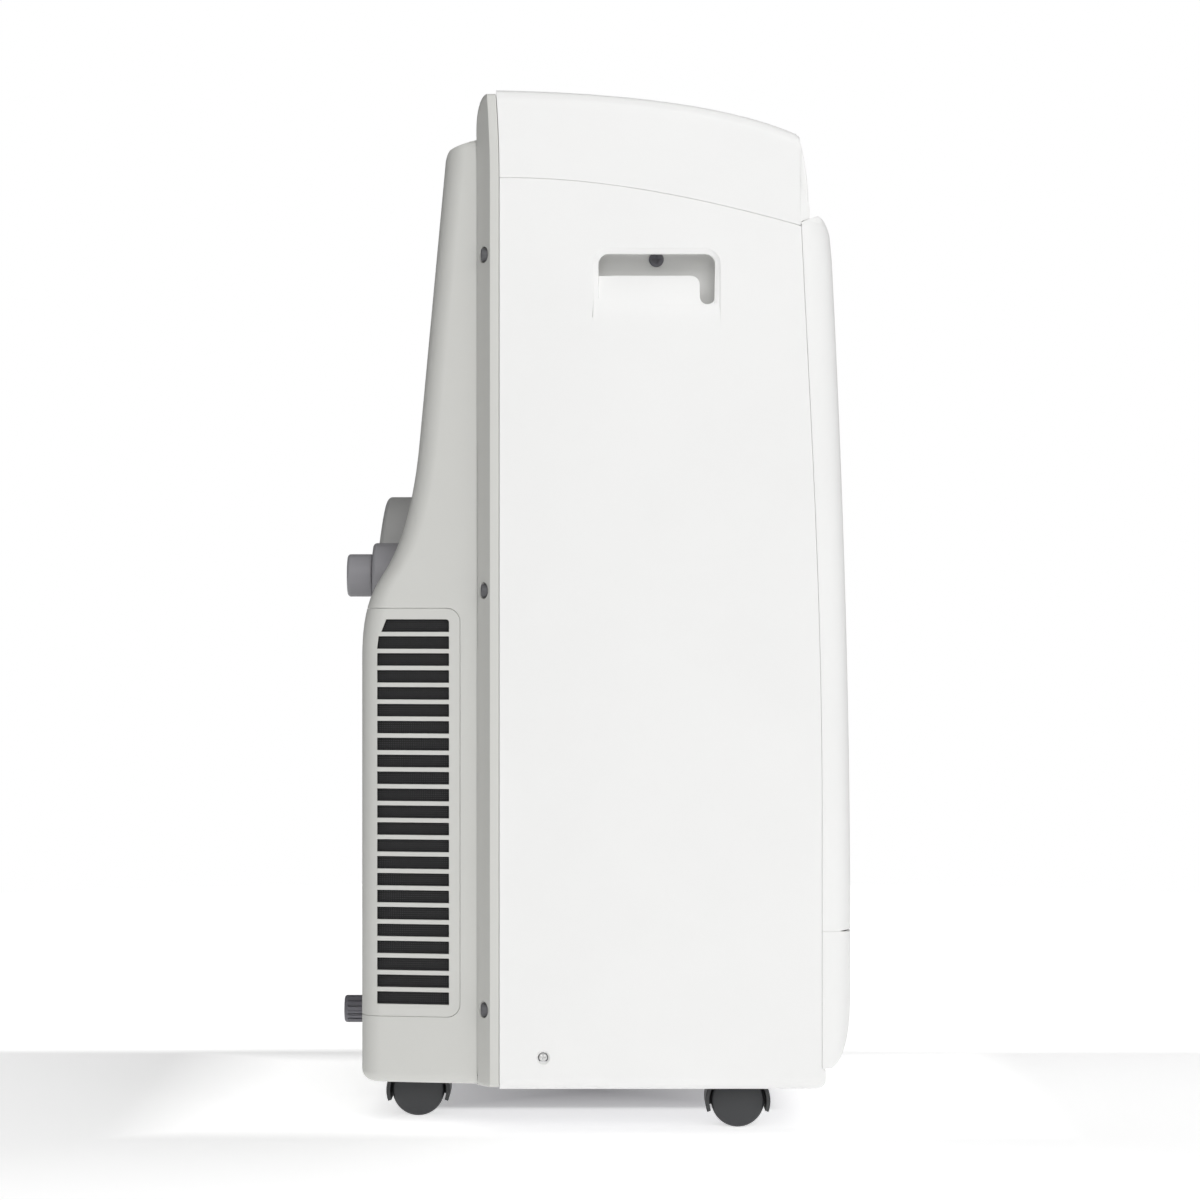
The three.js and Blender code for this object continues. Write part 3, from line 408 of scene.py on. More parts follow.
def netting(name):
    """Woven filter mesh: crossing threads over dark gaps, running round the corners."""
    pitch = 1.6
    made = Material(name, Roughness=0.7)
    parts = made.node("ShaderNodeSeparateXYZ", {"Vector": made.place}).outputs
    around = made.maths("ADD", parts["X"], parts["Y"])
    made.place = made.node("ShaderNodeCombineXYZ", {"X": around, "Z": parts["Z"]}).outputs[0]
    crossed = made.maths("MULTIPLY", made.wave("X", pitch), made.wave("Z", pitch))
    made.link(made.tones(crossed, srgb(6, 6, 8), srgb(58, 58, 60)), "Base Color")
    made.bump(crossed, 0.5, 0.3)
    return made.data


def circuit(name):
    """Green solder mask with paler tracks."""
    made = Material(name, Roughness=0.45)
    tracks = made.node("ShaderNodeTexBrick", {"Vector": made.place}, Scale=180.0)
    tracks.inputs["Color1"].default_value = srgb(36, 96, 60)
    tracks.inputs["Color2"].default_value = srgb(44, 108, 68)
    tracks.inputs["Mortar"].default_value = srgb(88, 140, 96)
    made.link(tracks.outputs["Color"], "Base Color")
    made.bump(tracks.outputs["Fac"], 0.2, 0.1)
    return made.data


WHITE = moulded("white_abs", (240, 240, 239), 0.36, grain=0.12, pitch=0.7)
REAR_GREY = moulded("rear_grey_abs", (210, 210, 206), 0.52, grain=0.3, pitch=0.5)
PORT_GREY = moulded("port_grey_abs", (178, 178, 177), 0.5)
# A darker grey for the mid drain cap, also laid on the drain boss, which is housing plastic: on the
# boss it is painted shade of the body's shaded rear corner.
CAP_AND_PAINTED_SHADE_GREY = moulded("cap_and_painted_shade_grey_abs", (144, 143, 147), 0.5)
CUP_GREY = moulded("cup_grey_abs", (244, 244, 242), 0.55)
# A darker grey on the grille's rib: painted shade of the grille's inside, where the rib sits behind
# the slats.
RIB_PAINTED_SHADE_GREY = moulded("rib_painted_shade_grey_abs", (128, 129, 127), 0.6)
# A dark grey on the step screws: painted shade for the shaded insides of the holes they sit in.
STEP_SCREW_PAINTED_SHADE_GREY = moulded("step_screw_painted_shade_grey_abs", (88, 88, 91), 0.5)
DARK = moulded("dark_grey_pp", (112, 111, 118), 0.55)
BLACK = moulded("black_abs", (40, 41, 43), 0.5)
FASCIA_BLACK = moulded("fascia_gloss", (22, 23, 25), 0.16, grain=0.04, Coat_Weight=0.5)
GLASS_BLACK = moulded("display_tint", (10, 12, 14), 0.08, grain=0.02, Coat_Weight=0.8)
NETTING = netting("filter_netting")
BOARD = circuit("circuit_board")
STEEL = metal("plated_steel", (190, 192, 194), 0.38, 0.8)
FINS = metal("coil_fins", (205, 208, 210), 0.42, 2.2, "X")
COPPER = metal("copper_tube", (196, 122, 78), 0.33, 0.6)
ENAMEL = moulded("black_enamel", (24, 25, 27), 0.3, grain=0.3, pitch=1.2)
FOAM = moulded("white_foam", (232, 232, 226), 0.85, grain=0.8, pitch=1.6)
CASTER = moulded("caster_nylon", (62, 63, 64), 0.5, grain=0.25)
TREAD = moulded("wheel_nylon", (58, 59, 61), 0.42, grain=0.2, pitch=0.8)

# ------------------------------------------------------------------ casing curves

HANDS = {"left": -1, "right": 1}
HALF = 220
WALL = 3
GAP = 0.5
SEAM_GAP = 0.15  # between the white panels, whose rounded edges meet in a shallow groove
BACK = trace(
    (173.2, 20), [(173.2, 350)], [(173.2, 385), (166, 400), (157, 413)],
    [(146, 429), (134, 460), (129.3, 513.5)], [(107.9, 741)], steps=14)
back_y = reader(BACK)
SEAM = trace((-171.2, 20), [(-171.2, 240)], [(-171, 400), (-163, 520), (-155.6, 676)])
seam_y = reader(SEAM)
FACE = trace(
    (-179, 45), [(-192.4, 52), (-192.7, 96)], [(-192.7, 150)],
    [(-192.7, 340), (-185.4, 520), (-178.6, 652)], [(-177.4, 676), (-168, 677.8)])
face_y = reader(FACE)
COVER_SEAM = trace((68, 706.3), [(-24, 708), (-155, 671)])
cover_seam_z = reader(COVER_SEAM, along=0)
ROOF = trace((68, 770), [(0, 768.5), (-95, 762.5), (-152, 737.5)], [(-155, 735)])
roof_z = reader(ROOF, along=0)

FLANGE_FRONT = 68.5
FLANGE_REAR = 75.2
STEP_REAR = 85.2
STEP_FOOT = 740
FLANGE_TOP = 769
LEAN_FROM = 706
LEAN = 2.4
LEAN_LEVELS = range(708, 766, 8)


def lean(z):
    """How far the flange and the cover's rear edge lean back near the top."""
    return LEAN * max(0, (z - LEAN_FROM) / (FLANGE_TOP - LEAN_FROM)) ** 2


# ------------------------------------------------------------------ rear housing and grilles

BODY_HALF = 202
BODY_TAPER = math.tan(math.radians(9))
BODY_CORNER = 18
BODY_BOTTOM = 30.4
BODY_TOP = 738
BOTTOM_ROUND = 9
TOP_ROUND = 9
STEP_FILLET = 1.2
BODY_LIP = 17


def round_in(radius, distance):
    """How far a rounded edge draws in, at a distance beyond the start of its round."""
    return radius - math.sqrt(max(0, radius ** 2 - min(radius, distance) ** 2))


def body_ring(z, inset=0, front=FLANGE_REAR, edges=True):
    """The body's section at a height, from its left front corner round the back."""
    shrink = inset
    if edges:
        shrink += round_in(BOTTOM_ROUND, max(0, BODY_BOTTOM + BOTTOM_ROUND - z))
        shrink += round_in(TOP_ROUND, max(0, z - (BODY_TOP - TOP_ROUND)))
    rear = back_y(z) - shrink
    radius = max(4, BODY_CORNER - shrink)
    fillet = STEP_FILLET if edges else 0.01

    def half_at(y):
        return BODY_HALF - shrink - (y - STEP_REAR) * BODY_TAPER

    right = [(half_at(STEP_REAR) + fillet, front)]
    for turn in np.radians(np.linspace(0, 90, 6)):
        y = STEP_REAR + fillet * (1 - math.cos(turn))
        right.append((half_at(y) + fillet * (1 - math.sin(turn)), y))
    right += arc(half_at(rear - radius) - radius, rear - radius, radius, 0, 90, 10)
    left = [(-x, y) for x, y in reversed(right)]
    return [(x, y, z) for x, y in (*right, *left)]


BODY_LEVELS = [50, 350, *range(358, 514, 6), 513.5]
CEILING = 721  # the highest point inside the housing


def body_outer(name):
    """The body's whole outer shape, round at its foot and its top."""
    low = [BODY_BOTTOM + BOTTOM_ROUND * (1 - math.cos(t)) for t in np.linspace(0.02, 1.5, 8)]
    high = [BODY_TOP - TOP_ROUND * (1 - math.sin(t)) for t in np.linspace(0, 1.45, 7)]
    return loft(name, [body_ring(z) for z in (*low, *BODY_LEVELS, *high)])


def body_inside(inset, front=40):
    """The body's hollow at a depth under its surface, narrower at the foot to leave a lip."""
    rings = [body_ring(z, BODY_LIP, front, False) for z in (20, 46)]
    rings += [body_ring(z, inset, front, False) for z in (*BODY_LEVELS, CEILING)]
    return loft("inside", rings)


GRILLE_FRONT, GRILLE_LOW, GRILLE_HIGH, GRILLE_CORNER = 97.8, 80.4, 387.2, 10
INTAKE_HALF, INTAKE_LOW, INTAKE_HIGH = 150, 508, 712
EXHAUST_Z, EXHAUST_OUTER, EXHAUST_BORE = 404, 72, 64
FAR = 400


def grille_region(shrink):
    """The outline of the lower grille, seen from the side."""
    return prism("region", "x", round_rect(
        GRILLE_FRONT + shrink, FAR, GRILLE_LOW + shrink, GRILLE_HIGH - shrink, GRILLE_CORNER),
        -FAR, FAR)


def intake_region(shrink):
    """The outline of the upper grille, seen from behind."""
    return prism("region", "y", round_rect(
        shrink - INTAKE_HALF, INTAKE_HALF - shrink, INTAKE_LOW + shrink, INTAKE_HIGH - shrink,
        GRILLE_CORNER), STEP_REAR, FAR)


def body_shell(name):
    """The body's wall alone."""
    return cut(body_outer(name), body_inside(WALL))


def crown_cutter():
    """What lies above the gentle slope of the body's top, with its rounded rear edge."""
    slope = trace((80, 738.2), [(85, 737.4)], [(97, 734.6), (105.4, 730.6)],
                  [(108.2, 729), (110.2, 720)], steps=10)
    return prism("crown", "x", [*slope, (160, 720), (160, 790), (80, 790)], -FAR, FAR)


def flange_and_step():
    """The flat flange and the hollow curve that steps in from it to the body."""
    corner = 4

    def ring(y, half, low, high):
        return [(x, y, z) for x, z in round_rect(-half, half, low, high, corner, 4)]

    rings = [ring(FLANGE_FRONT, HALF, SKIRT_Z, FLANGE_TOP)]
    for turn in np.linspace(0, 90, 16):
        part = math.sin(math.radians(turn))
        half = HALF + (BODY_HALF + STEP_FILLET / 2 - HALF) * part
        y = FLANGE_REAR + (STEP_REAR - FLANGE_REAR) * part
        low = SKIRT_Z + (BODY_BOTTOM - SKIRT_Z) * part
        high = STEP_FOOT + (FLANGE_TOP - STEP_FOOT) * math.cos(math.radians(turn))
        rings.append(ring(y, half, low, high))
    return loft("rear_housing", rings)


MID_DRAIN = {"x": -115, "z": 412, "boss": 25, "face": 168.4, "stub": 6, "root": 158,
             "cap": 16.4, "end": 188.2}
LOW_DRAIN = {"x": -20, "z": 65.8, "spout": 8, "cap": 10.8, "start": 174, "end": 197.7}
GLAND = {"x": 120, "z": 60, "body": 7.5, "flange": 11, "bore": 4, "root": 163}
STEP_SCREW = {"x": 211, "hole": 6, "floor": 71.5, "seat": 76.6, "head": 4.8, "height": 5.6}
SCREW_Z = [88, 400, 650]
REBATE = {"deep": 0.9, "behind": 5, "lap": 3.5}  # the ledge round the opening that the grille sits on
GRILLE_OPENING = GAP - 0.2


def y_rod(radius, low, high, at, segments=48):
    """A rod along Y, at a place given by its x and z."""
    return rod("rod", "y", radius, low, high, (at["x"], 0, at["z"]), segments)


housing = join(flange_and_step(), cut(body_outer("body"), crown_cutter()))
cut(housing, body_inside(WALL))
cut(housing, grille_region(GRILLE_OPENING))


def inner_band(inner, outer):
    """A layer under the body's wall, between two depths from its surface."""
    return cut(body_inside(inner), body_inside(outer))


rebate = common(inner_band(WALL - 0.1, WALL + REBATE["deep"]), grille_region(-REBATE["behind"]))
cut(rebate, grille_region(REBATE["lap"]))
join(housing, cut(rebate, common(inner_band(WALL - 1, WALL + 0.1), grille_region(0))))
cut(housing, intake_region(0),
    rod("port", "y", EXHAUST_OUTER + 0.6, 100, 300, (0, 0, EXHAUST_Z), 96),
    y_rod(LOW_DRAIN["spout"] + 0.6, 140, 200, LOW_DRAIN),
    y_rod(MID_DRAIN["stub"] + 0.6, 100, 200, MID_DRAIN),
    y_rod(GLAND["body"] + 0.5, 140, 200, GLAND),
    *[y_rod(STEP_SCREW["hole"], STEP_SCREW["floor"], 95, {"x": side * STEP_SCREW["x"], "z": z})
      for side in (-1, 1) for z in SCREW_Z])
slice_across(housing, LEAN_LEVELS)
warp(housing, lambda x, y, z: (x, y + (lean(z) if y < 90 else 0), z))
dress(housing, "root", REAR_GREY, ["rear_housing"], edge=0.35)

BOSS_ROUND = 3
BOSS_ROOT = 132
boss = lathe("drain_boss", "y", [
    (MID_DRAIN["stub"] + 0.6, BOSS_ROOT), (MID_DRAIN["boss"], BOSS_ROOT),
    *arc(MID_DRAIN["boss"] - BOSS_ROUND, MID_DRAIN["face"] - BOSS_ROUND, BOSS_ROUND, 0, 90, 5),
    (MID_DRAIN["stub"] + 0.6, MID_DRAIN["face"])], (MID_DRAIN["x"], 0, MID_DRAIN["z"]))
# The boss is housing plastic; its darker cap grey is painted shade of the rear corner round it.
dress(cut(boss, body_inside(WALL)), "root", CAP_AND_PAINTED_SHADE_GREY, edge=0.2)

SLOT_ROWS, SLOT_PITCH, SLOT_HEIGHT, SLOT_TOP = 23, 12.69, 9.4, 378.5
SIDE_SLOT = (106.5, 160.8)
SHOULDER_SLOTS = [(154, 157.7), (159.8, 160.9)]  # the top two rows' rear ends slant, high to low
SLOT_CORNER = 0.6
FIRST_SLOT_CORNER = 2.2
COLUMNS = {"middle": 5, "end": 158}  # the back slots' inner and outer ends
INTAKE_ROWS, INTAKE_END = 15, 138


def side_slots():
    """Cutters for the slots in both sides of the lower grille."""
    cutters = []
    front, rear = SIDE_SLOT
    for row in range(SLOT_ROWS):
        high = SLOT_TOP - row * SLOT_PITCH
        low = high - SLOT_HEIGHT
        top_rear, low_rear = SHOULDER_SLOTS[row] if row < len(SHOULDER_SLOTS) else (rear, rear)
        corner = SLOT_CORNER if row else FIRST_SLOT_CORNER
        outline = [(front, low), (low_rear, low), (top_rear, high),
                   *arc(front + corner, high - corner, corner, 90, 180, 5)]
        for side in (-1, 1):
            ends = sorted((side * 100, side * FAR))
            cutters.append(prism("slot", "x", outline, *ends))
    return cutters


def back_slots(rows, top, middle, end, clearance=0):
    """Cutters for two columns of slots in the back, kept clear of the exhaust port."""
    cutters = []
    for row in range(rows):
        high = top - row * SLOT_PITCH
        for low_x, high_x in ((-end, -middle), (middle, end)):
            if clearance and high > EXHAUST_Z - EXHAUST_OUTER - SLOT_PITCH:
                low_x = max(low_x, clearance) if low_x > 0 else low_x
                high_x = min(high_x, -clearance) if high_x < 0 else high_x
            cutters.append(prism("slot", "y", round_rect(
                low_x, high_x, high - SLOT_HEIGHT, high, SLOT_CORNER, 3), STEP_REAR + 5, FAR))
    return cutters


grille = common(body_shell("lower_grille"), grille_region(GAP))
cut(grille, rod("port", "y", EXHAUST_OUTER + 1.5, 100, 300, (0, 0, EXHAUST_Z), 96))
cut(grille, *side_slots())
cut(grille, *back_slots(
    SLOT_ROWS, SLOT_TOP, COLUMNS["middle"], COLUMNS["end"], EXHAUST_OUTER + 10))
dress(grille, "lower_grille", REAR_GREY, ["lower_grille"], edge=0.3)

RIB = {"front": 153.2, "rear": 156.2, "low": 84, "high": 379, "outer": 4.6, "inner": 6.4,
       "stud": 1.5}


def grille_rib(side):
    """The upright that ties the slats together behind a corner, with a stud at each end."""
    def upright(outer, inner, low, high):
        ends = sorted((side * 150, side * FAR))
        return common(inner_band(outer, inner),
                      box("upright", *ends, RIB["front"], RIB["rear"], low, high))

    rib = upright(RIB["outer"], RIB["inner"], RIB["low"], RIB["high"])
    for z in (RIB["low"] - RIB["stud"], RIB["high"] + RIB["stud"]):
        join(rib, upright(WALL - 0.3, RIB["outer"] + 0.2, z - RIB["stud"], z + RIB["stud"]))
    # The rib's darker grey is painted shade of the grille's inside.
    return dress(rib, "lower_grille", RIB_PAINTED_SHADE_GREY, edge=0.15)


for side in HANDS.values():
    grille_rib(side)

intake = common(body_shell("upper_grille"), intake_region(GAP))
cut(intake, *back_slots(INTAKE_ROWS, INTAKE_HIGH - 9, COLUMNS["middle"], INTAKE_END))
dress(intake, "upper_grille", REAR_GREY, ["upper_grille"], edge=0.35)

# ------------------------------------------------------------------ exhaust, drains, gland


def exhaust_collar():
    """The port's collar: a rounded rim whose face leans forward towards the top."""
    spigot, step, end = 112, 126, 170.6
    rim, lip = 4.5, 1.5
    profile = [
        (EXHAUST_BORE, spigot), (EXHAUST_BORE + WALL, spigot), (EXHAUST_BORE + WALL, step),
        (EXHAUST_OUTER, step), (EXHAUST_OUTER, 150),
        *arc(EXHAUST_OUTER - rim, end - rim, rim, 0, 90, 8),
        *arc(EXHAUST_BORE + lip, end - lip, lip, 90, 180, 5), (EXHAUST_BORE, 140)]
    piece = lathe("exhaust_collar", "y", profile, (0, 0, EXHAUST_Z), 128)
    slant = math.tan(math.radians(5))
    straight = step + 2

    def shear(x, y, z):
        share = max(0, (y - straight) / (end - straight))
        return x, y - (z - EXHAUST_Z) * slant * share, z

    return warp(piece, shear)


dress(exhaust_collar(), "root", PORT_GREY, ["exhaust_collar"], edge=0.3)


FINGER_GROOVE = 1.1


def knob(name, radius, low, high, at, edge, ribs=0, bore=0):
    """A turned cap with rounded ends, and grooves between ribs round its side if it has any."""
    profile = [
        (0.01, low), *arc(radius - edge / 2, low + edge / 2, edge / 2, -90, 0, 3),
        *arc(radius - edge, high - edge, edge, 0, 90, 6), (0.01, high)]
    piece = lathe(name, "y", profile, (at["x"], 0, at["z"]), 96)
    if bore:
        cut(piece, y_rod(bore, low - 5, low + 8, at))
    if ribs:
        grooves = []
        for i in range(ribs):
            turn = 2 * math.pi * i / ribs
            place = {"x": at["x"] + (radius + 0.5) * math.cos(turn),
                     "z": at["z"] + (radius + 0.5) * math.sin(turn)}
            grooves.append(y_rod(FINGER_GROOVE, low + 3, high - edge - 1, place, 10))
        cut(piece, *grooves)
    return piece


mid_cap = knob("mid_drain_cap", MID_DRAIN["cap"], MID_DRAIN["face"] + GAP, MID_DRAIN["end"],
               MID_DRAIN, 2.4)
join(mid_cap, y_rod(MID_DRAIN["stub"], MID_DRAIN["root"], MID_DRAIN["face"] + 2, MID_DRAIN))
dress(mid_cap, "mid_drain_cap", CAP_AND_PAINTED_SHADE_GREY, ["mid_drain_cap"], edge=0.2)
low_cap = knob("bottom_drain_cap", LOW_DRAIN["cap"], LOW_DRAIN["start"], LOW_DRAIN["end"],
               LOW_DRAIN, 2, ribs=18, bore=LOW_DRAIN["spout"] + 0.4)
dress(low_cap, "bottom_drain_cap", DARK, ["bottom_drain_cap"], edge=0.2)
gland = lathe("cord_gland", "y", [
    (GLAND["bore"], GLAND["root"]), (GLAND["body"], GLAND["root"]), (GLAND["body"], 172.5),
    (GLAND["flange"], 173.7), *arc(GLAND["flange"] - 1.5, 176, 1.5, 0, 90, 5),
    *arc(GLAND["bore"] + 2, 175.5, 2, 90, 180, 5)], (GLAND["x"], 0, GLAND["z"]), 64)
dress(gland, "root", BLACK, ["cord_gland"], edge=0.2)

# ------------------------------------------------------------------ side panels and handles

HANDLE = {"rear": -5.4, "front": -91.7, "low": 600, "high": 649.8, "corner": 7.5, "deep": 28}
LEDGE = {"front": -80.7, "high": 634.2, "corner": 7, "deep": 6, "start": 599}
LEDGE_SLOT_Z = 618  # the middle of the round foot of the slot in front of the ledge
RIM = {"wide": 4.2, "deep": 1.4}
CUP_ROOM = {"side": 2, "top": 6}  # how far the cup reaches behind the opening's edges
BACKING = {"reach": 6, "top": 9, "corner": 9, "deep": 6}  # thicker wall round the opening
SKIRT_ROUND = 10
PANEL_FOOT = 29
LIP = {"y": -174.2, "high": 43.5, "round": 8}
BASE_SCREW = {"y": 35.8, "z": 53.3, "hole": 5, "deep": 5, "head": 3.3, "height": 1.8}
RETURN = 10  # depth of the panel's turned-in edges
PANEL_REAR = FLANGE_FRONT - 0.3
PANEL_TIP = 670  # height of the panel's top front corner


def side_outline(inset=0.0):
    """A side panel's outline, from its rear foot over the top and down the front."""
    rear = PANEL_REAR - inset
    top = [(y, z - SEAM_GAP - inset) for y, z in COVER_SEAM if inset - 154 < y < rear]
    top.append((seam_y(PANEL_TIP) + inset, PANEL_TIP + 0.5 - inset))
    front = [(y + inset, z) for y, z in reversed(SEAM) if 48 < z < PANEL_TIP - 8]
    bend = LIP["round"]
    corner = arc(LIP["y"] + bend, PANEL_FOOT + bend, bend - inset, 180, 270, 6)
    return [
        (rear, PANEL_FOOT + inset), (rear, top[0][1]), *top, *front,
        (seam_y(46) + inset, 45.5), (LIP["y"] + inset, LIP["high"]), *corner]


def handle_cutter(side):
    """The grip's opening: flared at the rim, with the ledge that ramps up into it left standing."""
    def x(depth):
        return side * (HALF - depth)

    rings = []
    for part in (-1, 0, 0.12, 0.25, 0.4, 0.6, 0.8, 1, 30):  # shares of the rim's depth
        depth = RIM["deep"] * (part if part < 0 or part > 1 else part ** 0.6)
        out = RIM["wide"] * (1 - min(max(part, 0), 1))
        rings.append([(x(depth), y, z) for y, z in round_rect(
            HANDLE["front"] - out, HANDLE["rear"] + out, HANDLE["low"] - 20, HANDLE["high"] + out,
            HANDLE["corner"] + out, 10)])
    opening = loft("opening", rings)
    slot = (LEDGE["front"] - HANDLE["front"]) / 2
    below = HANDLE["low"] - 40
    side_view = [
        (20, below), (20, LEDGE["high"]),
        *arc(LEDGE["front"] + LEDGE["corner"], LEDGE["high"] - LEDGE["corner"],
             LEDGE["corner"], 90, 180, 8),
        *arc(LEDGE["front"] - slot, LEDGE_SLOT_Z, slot, 0, -180, 14),
        (HANDLE["front"] - 0.02, 640), (-120, 640), (-120, below)]
    ledge = prism("ledge", "x", side_view, *sorted((x(-3), x(20))))
    rise = LEDGE["high"] - LEDGE["start"]
    section = [(x(-0.8), below), (x(-0.8), LEDGE["start"] - 2)]
    for part in np.linspace(0, 1, 19):
        section.append((x(LEDGE["deep"] * part ** 2 - 0.02), LEDGE["start"] + rise * part))
    section += [(x(LEDGE["deep"] + 2), 660), (x(60), 660), (x(60), below)]
    common(ledge, prism("ramp", "y", section, -150, 40))
    return cut(opening, ledge)


def side_panel(name, side):
    """A side panel: turned-in edges, a rounded hem at the foot, and the grip's opening."""
    def x(depth):
        return side * (HALF - depth)

    def between(a, b):
        return sorted((x(a), x(b)))

    panel = prism(name, "x", side_outline(), *between(0, RETURN))
    inner = prism("inner", "x", side_outline(WALL), *between(WALL, RETURN + 1))
    centre = (x(SKIRT_ROUND), PANEL_FOOT + SKIRT_ROUND)
    for target, radius in ((inner, SKIRT_ROUND - WALL), (panel, SKIRT_ROUND)):
        curve = [(centre[0] + side * a, centre[1] + b) for a, b in arc(0, 0, radius, 0, -90, 8)]
        beyond, under = centre[0] + side * 2 * SKIRT_ROUND, centre[1] - 2 * SKIRT_ROUND
        cut(target, prism("hem", "y", [
            (beyond, centre[1]), *curve, (centre[0], under), (beyond, under)], -250, 120))
    cut(panel, inner)
    rim = BACKING["reach"]
    backing = prism("backing", "x", round_rect(
        HANDLE["front"] - rim, HANDLE["rear"] + rim, HANDLE["low"] - rim,
        HANDLE["high"] + BACKING["top"], BACKING["corner"], 4), *between(1, BACKING["deep"]))
    block = prism("block", "x", round_rect(
        HANDLE["front"], HANDLE["rear"], HANDLE["low"] + 0.5, LEDGE["high"] + 1, 3, 3),
        *between(1.5, LEDGE["deep"] + 4))
    join(panel, backing, block)
    cut(panel, handle_cutter(side))
    hole = BASE_SCREW["hole"]
    cut(panel, lathe("dimple", "x", [
        (0.01, x(-1)), (hole + 0.4, x(-1)), (hole, x(0.4)), (hole - 1.2, x(2.2)),
        (hole - 1.4, x(BASE_SCREW["deep"])), (0.01, x(BASE_SCREW["deep"]))],
        (0, BASE_SCREW["y"], BASE_SCREW["z"])))
    return dress(panel, "root", WHITE, [name], edge=0.35)


def handle_cup(name, side):
    """The pocket behind a panel's grip opening."""
    def between(a, b):
        return sorted((side * (HALF - a), side * (HALF - b)))

    def outline(grow):
        return round_rect(
            HANDLE["front"] - CUP_ROOM["side"] - grow, HANDLE["rear"] + CUP_ROOM["side"] + grow,
            HANDLE["low"] - grow, HANDLE["high"] + CUP_ROOM["top"] + grow,
            HANDLE["corner"] + grow, 8)

    cup = prism(name, "x", outline(WALL), *between(BACKING["deep"] + 0.3, HANDLE["deep"]))
    cut(cup, prism("hollow", "x", outline(0), *between(0, HANDLE["deep"] - WALL)))
    return dress(cup, "root", CUP_GREY, [name], edge=0.5)


for hand, side in HANDS.items():
    side_panel(f"{hand}_side_panel", side)
    handle_cup(f"{hand}_handle_cup", side)

# ------------------------------------------------------------------ screws

HANDLE_SCREW = {"y": -48.7, "z": 648, "head": 5.6, "height": 2.6}


def screw(name, axis, outward, at, size, material):
    """A pan-head screw with a cross recess. Its head stands along an axis, outward or back."""
    radius, height = size["head"], size["height"]
    edge, recess = 1.4, 1.5
    top = [(r, outward * s) for r, s in arc(radius - edge, height - edge, edge, 0, 90, 5)]
    head = lathe(name, axis, [(0.01, 0), (radius, 0), *top, (0.01, outward * height)], at, 40)
    reach, half = radius * 0.62, radius * 0.17
    place = AXES[axis]
    for a, b in ((reach, half), (half, reach)):
        corners = [(-a, -b), (a, -b), (a, b), (-a, b)]
        rings = [[tuple(np.array(place(p, q, s * outward)) + np.array(at)) for p, q in corners]
                 for s in (height - recess, height + 1)]
        cut(head, loft("cross", rings))
    return dress(head, "root", material, edge=0.15)


for hand, side in HANDS.items():
    # The step screws' heads are large and dark: painted shade filling the holes' shaded insides.
    for z in SCREW_Z:
        screw(f"{hand}_step_screw_{z}", "y", 1, (side * STEP_SCREW["x"], STEP_SCREW["seat"], z),
              STEP_SCREW, STEP_SCREW_PAINTED_SHADE_GREY)
    screw(f"{hand}_handle_screw", "x", side,
          (side * (HALF - HANDLE["deep"] + WALL), HANDLE_SCREW["y"], HANDLE_SCREW["z"]),
          HANDLE_SCREW, DARK)
    screw(f"{hand}_base_screw", "x", side,
          (side * (HALF - BASE_SCREW["deep"]), BASE_SCREW["y"], BASE_SCREW["z"]),
          BASE_SCREW, WHITE)

# ------------------------------------------------------------------ front panels

FRONT_BULGE = 5
FRONT_CORNER = 19
FRONT_LIP = {"y": -159.3, "z": 674.9, "slope": 2.85}  # the top edge, which slants forward
SPLIT_Z = 147


def front_ring(z, inset, back):
    """The front panels' section at a height, bulging forward to their middle."""
    face = face_y(z) + inset
    radius = max(0.3, min(FRONT_CORNER - inset, (back - face) * 0.9))
    half = HALF - inset

    def bulge(x):
        return FRONT_BULGE * (1 - (x / half) ** 2)

    right = [(x, face - bulge(x)) for x in (*range(25, 176, 25), 190)]
    for a, b in arc(half - radius, 0, radius, 90, 0, 10):
        right.append((a, face + radius - b - bulge(a)))
    right.append((half, back))
    left = [(-x, y) for x, y in reversed(right)]
    return [(x, y, z) for x, y in ((0, face - FRONT_BULGE), *right, *left)]


def front_back(z):
    """Where the front panels end towards the back, at a height."""
    lip = FRONT_LIP["y"] - FRONT_LIP["slope"] * (z - FRONT_LIP["z"])
    return min(seam_y(z) - SEAM_GAP, lip)


FRONT_LEVELS = [
    *(45 + 50 * (i / 14) ** 2 for i in range(15)), SPLIT_Z, *range(170, 660, 14),
    *(664 + 13.6 * math.sin(t) for t in np.linspace(0, 1.5, 9))]


def front_shell(name):
    """Both front panels as one shell, before they are split."""
    outer = loft(name, [front_ring(z, 0, front_back(z)) for z in FRONT_LEVELS])
    inner = loft("inner", [front_ring(z, WALL, -140) for z in FRONT_LEVELS if 50 < z < 672])
    return cut(outer, inner)


for name, low, high in (("front_panel_upper", SPLIT_Z + 0.05, 800),
                        ("front_panel_lower", 0, SPLIT_Z - 0.05)):
    panel = common(front_shell(name), box("band", -FAR, FAR, -FAR, 0, low, high))
    cut(panel, prism("notch", "x", [
        (-184, SPLIT_Z), (-200, SPLIT_Z - 1.8), (-200, SPLIT_Z + 1.8)], -FAR, FAR))
    dress(panel, "root", WHITE, [name], edge=0.25)

# ------------------------------------------------------------------ top cover and outlet

COVER_REAR = PANEL_REAR
COVER_FRONT = -155
LEAN_Y = 40  # where the lean of the cover's rear edge fades out
ROOF_ROUND = 9
ROOF_DIP = 2.3  # how far the roof's middle lies below its sides
ROOF_MIDDLE, ROOF_SIDE = 90, 190  # half widths of the roof's flat middle and of its dip
NICHE = {"half": 212.5, "wall": -151, "high": 734.2}
MOUTH = {"half": 163.5, "low": 682.5, "high": 728.5}
FASCIA = {"y": -95, "z": 756.2, "tilt": math.radians(13), "half": 88, "reach": 23}
FLAP_HALF = 211
FLAP_PIVOT = (-158.5, 680.5)
FLAP_ROUND = 3.4
PIN = {"radius": 1.7, "hole": 2.2, "hole_end": 217, "reach": 5}


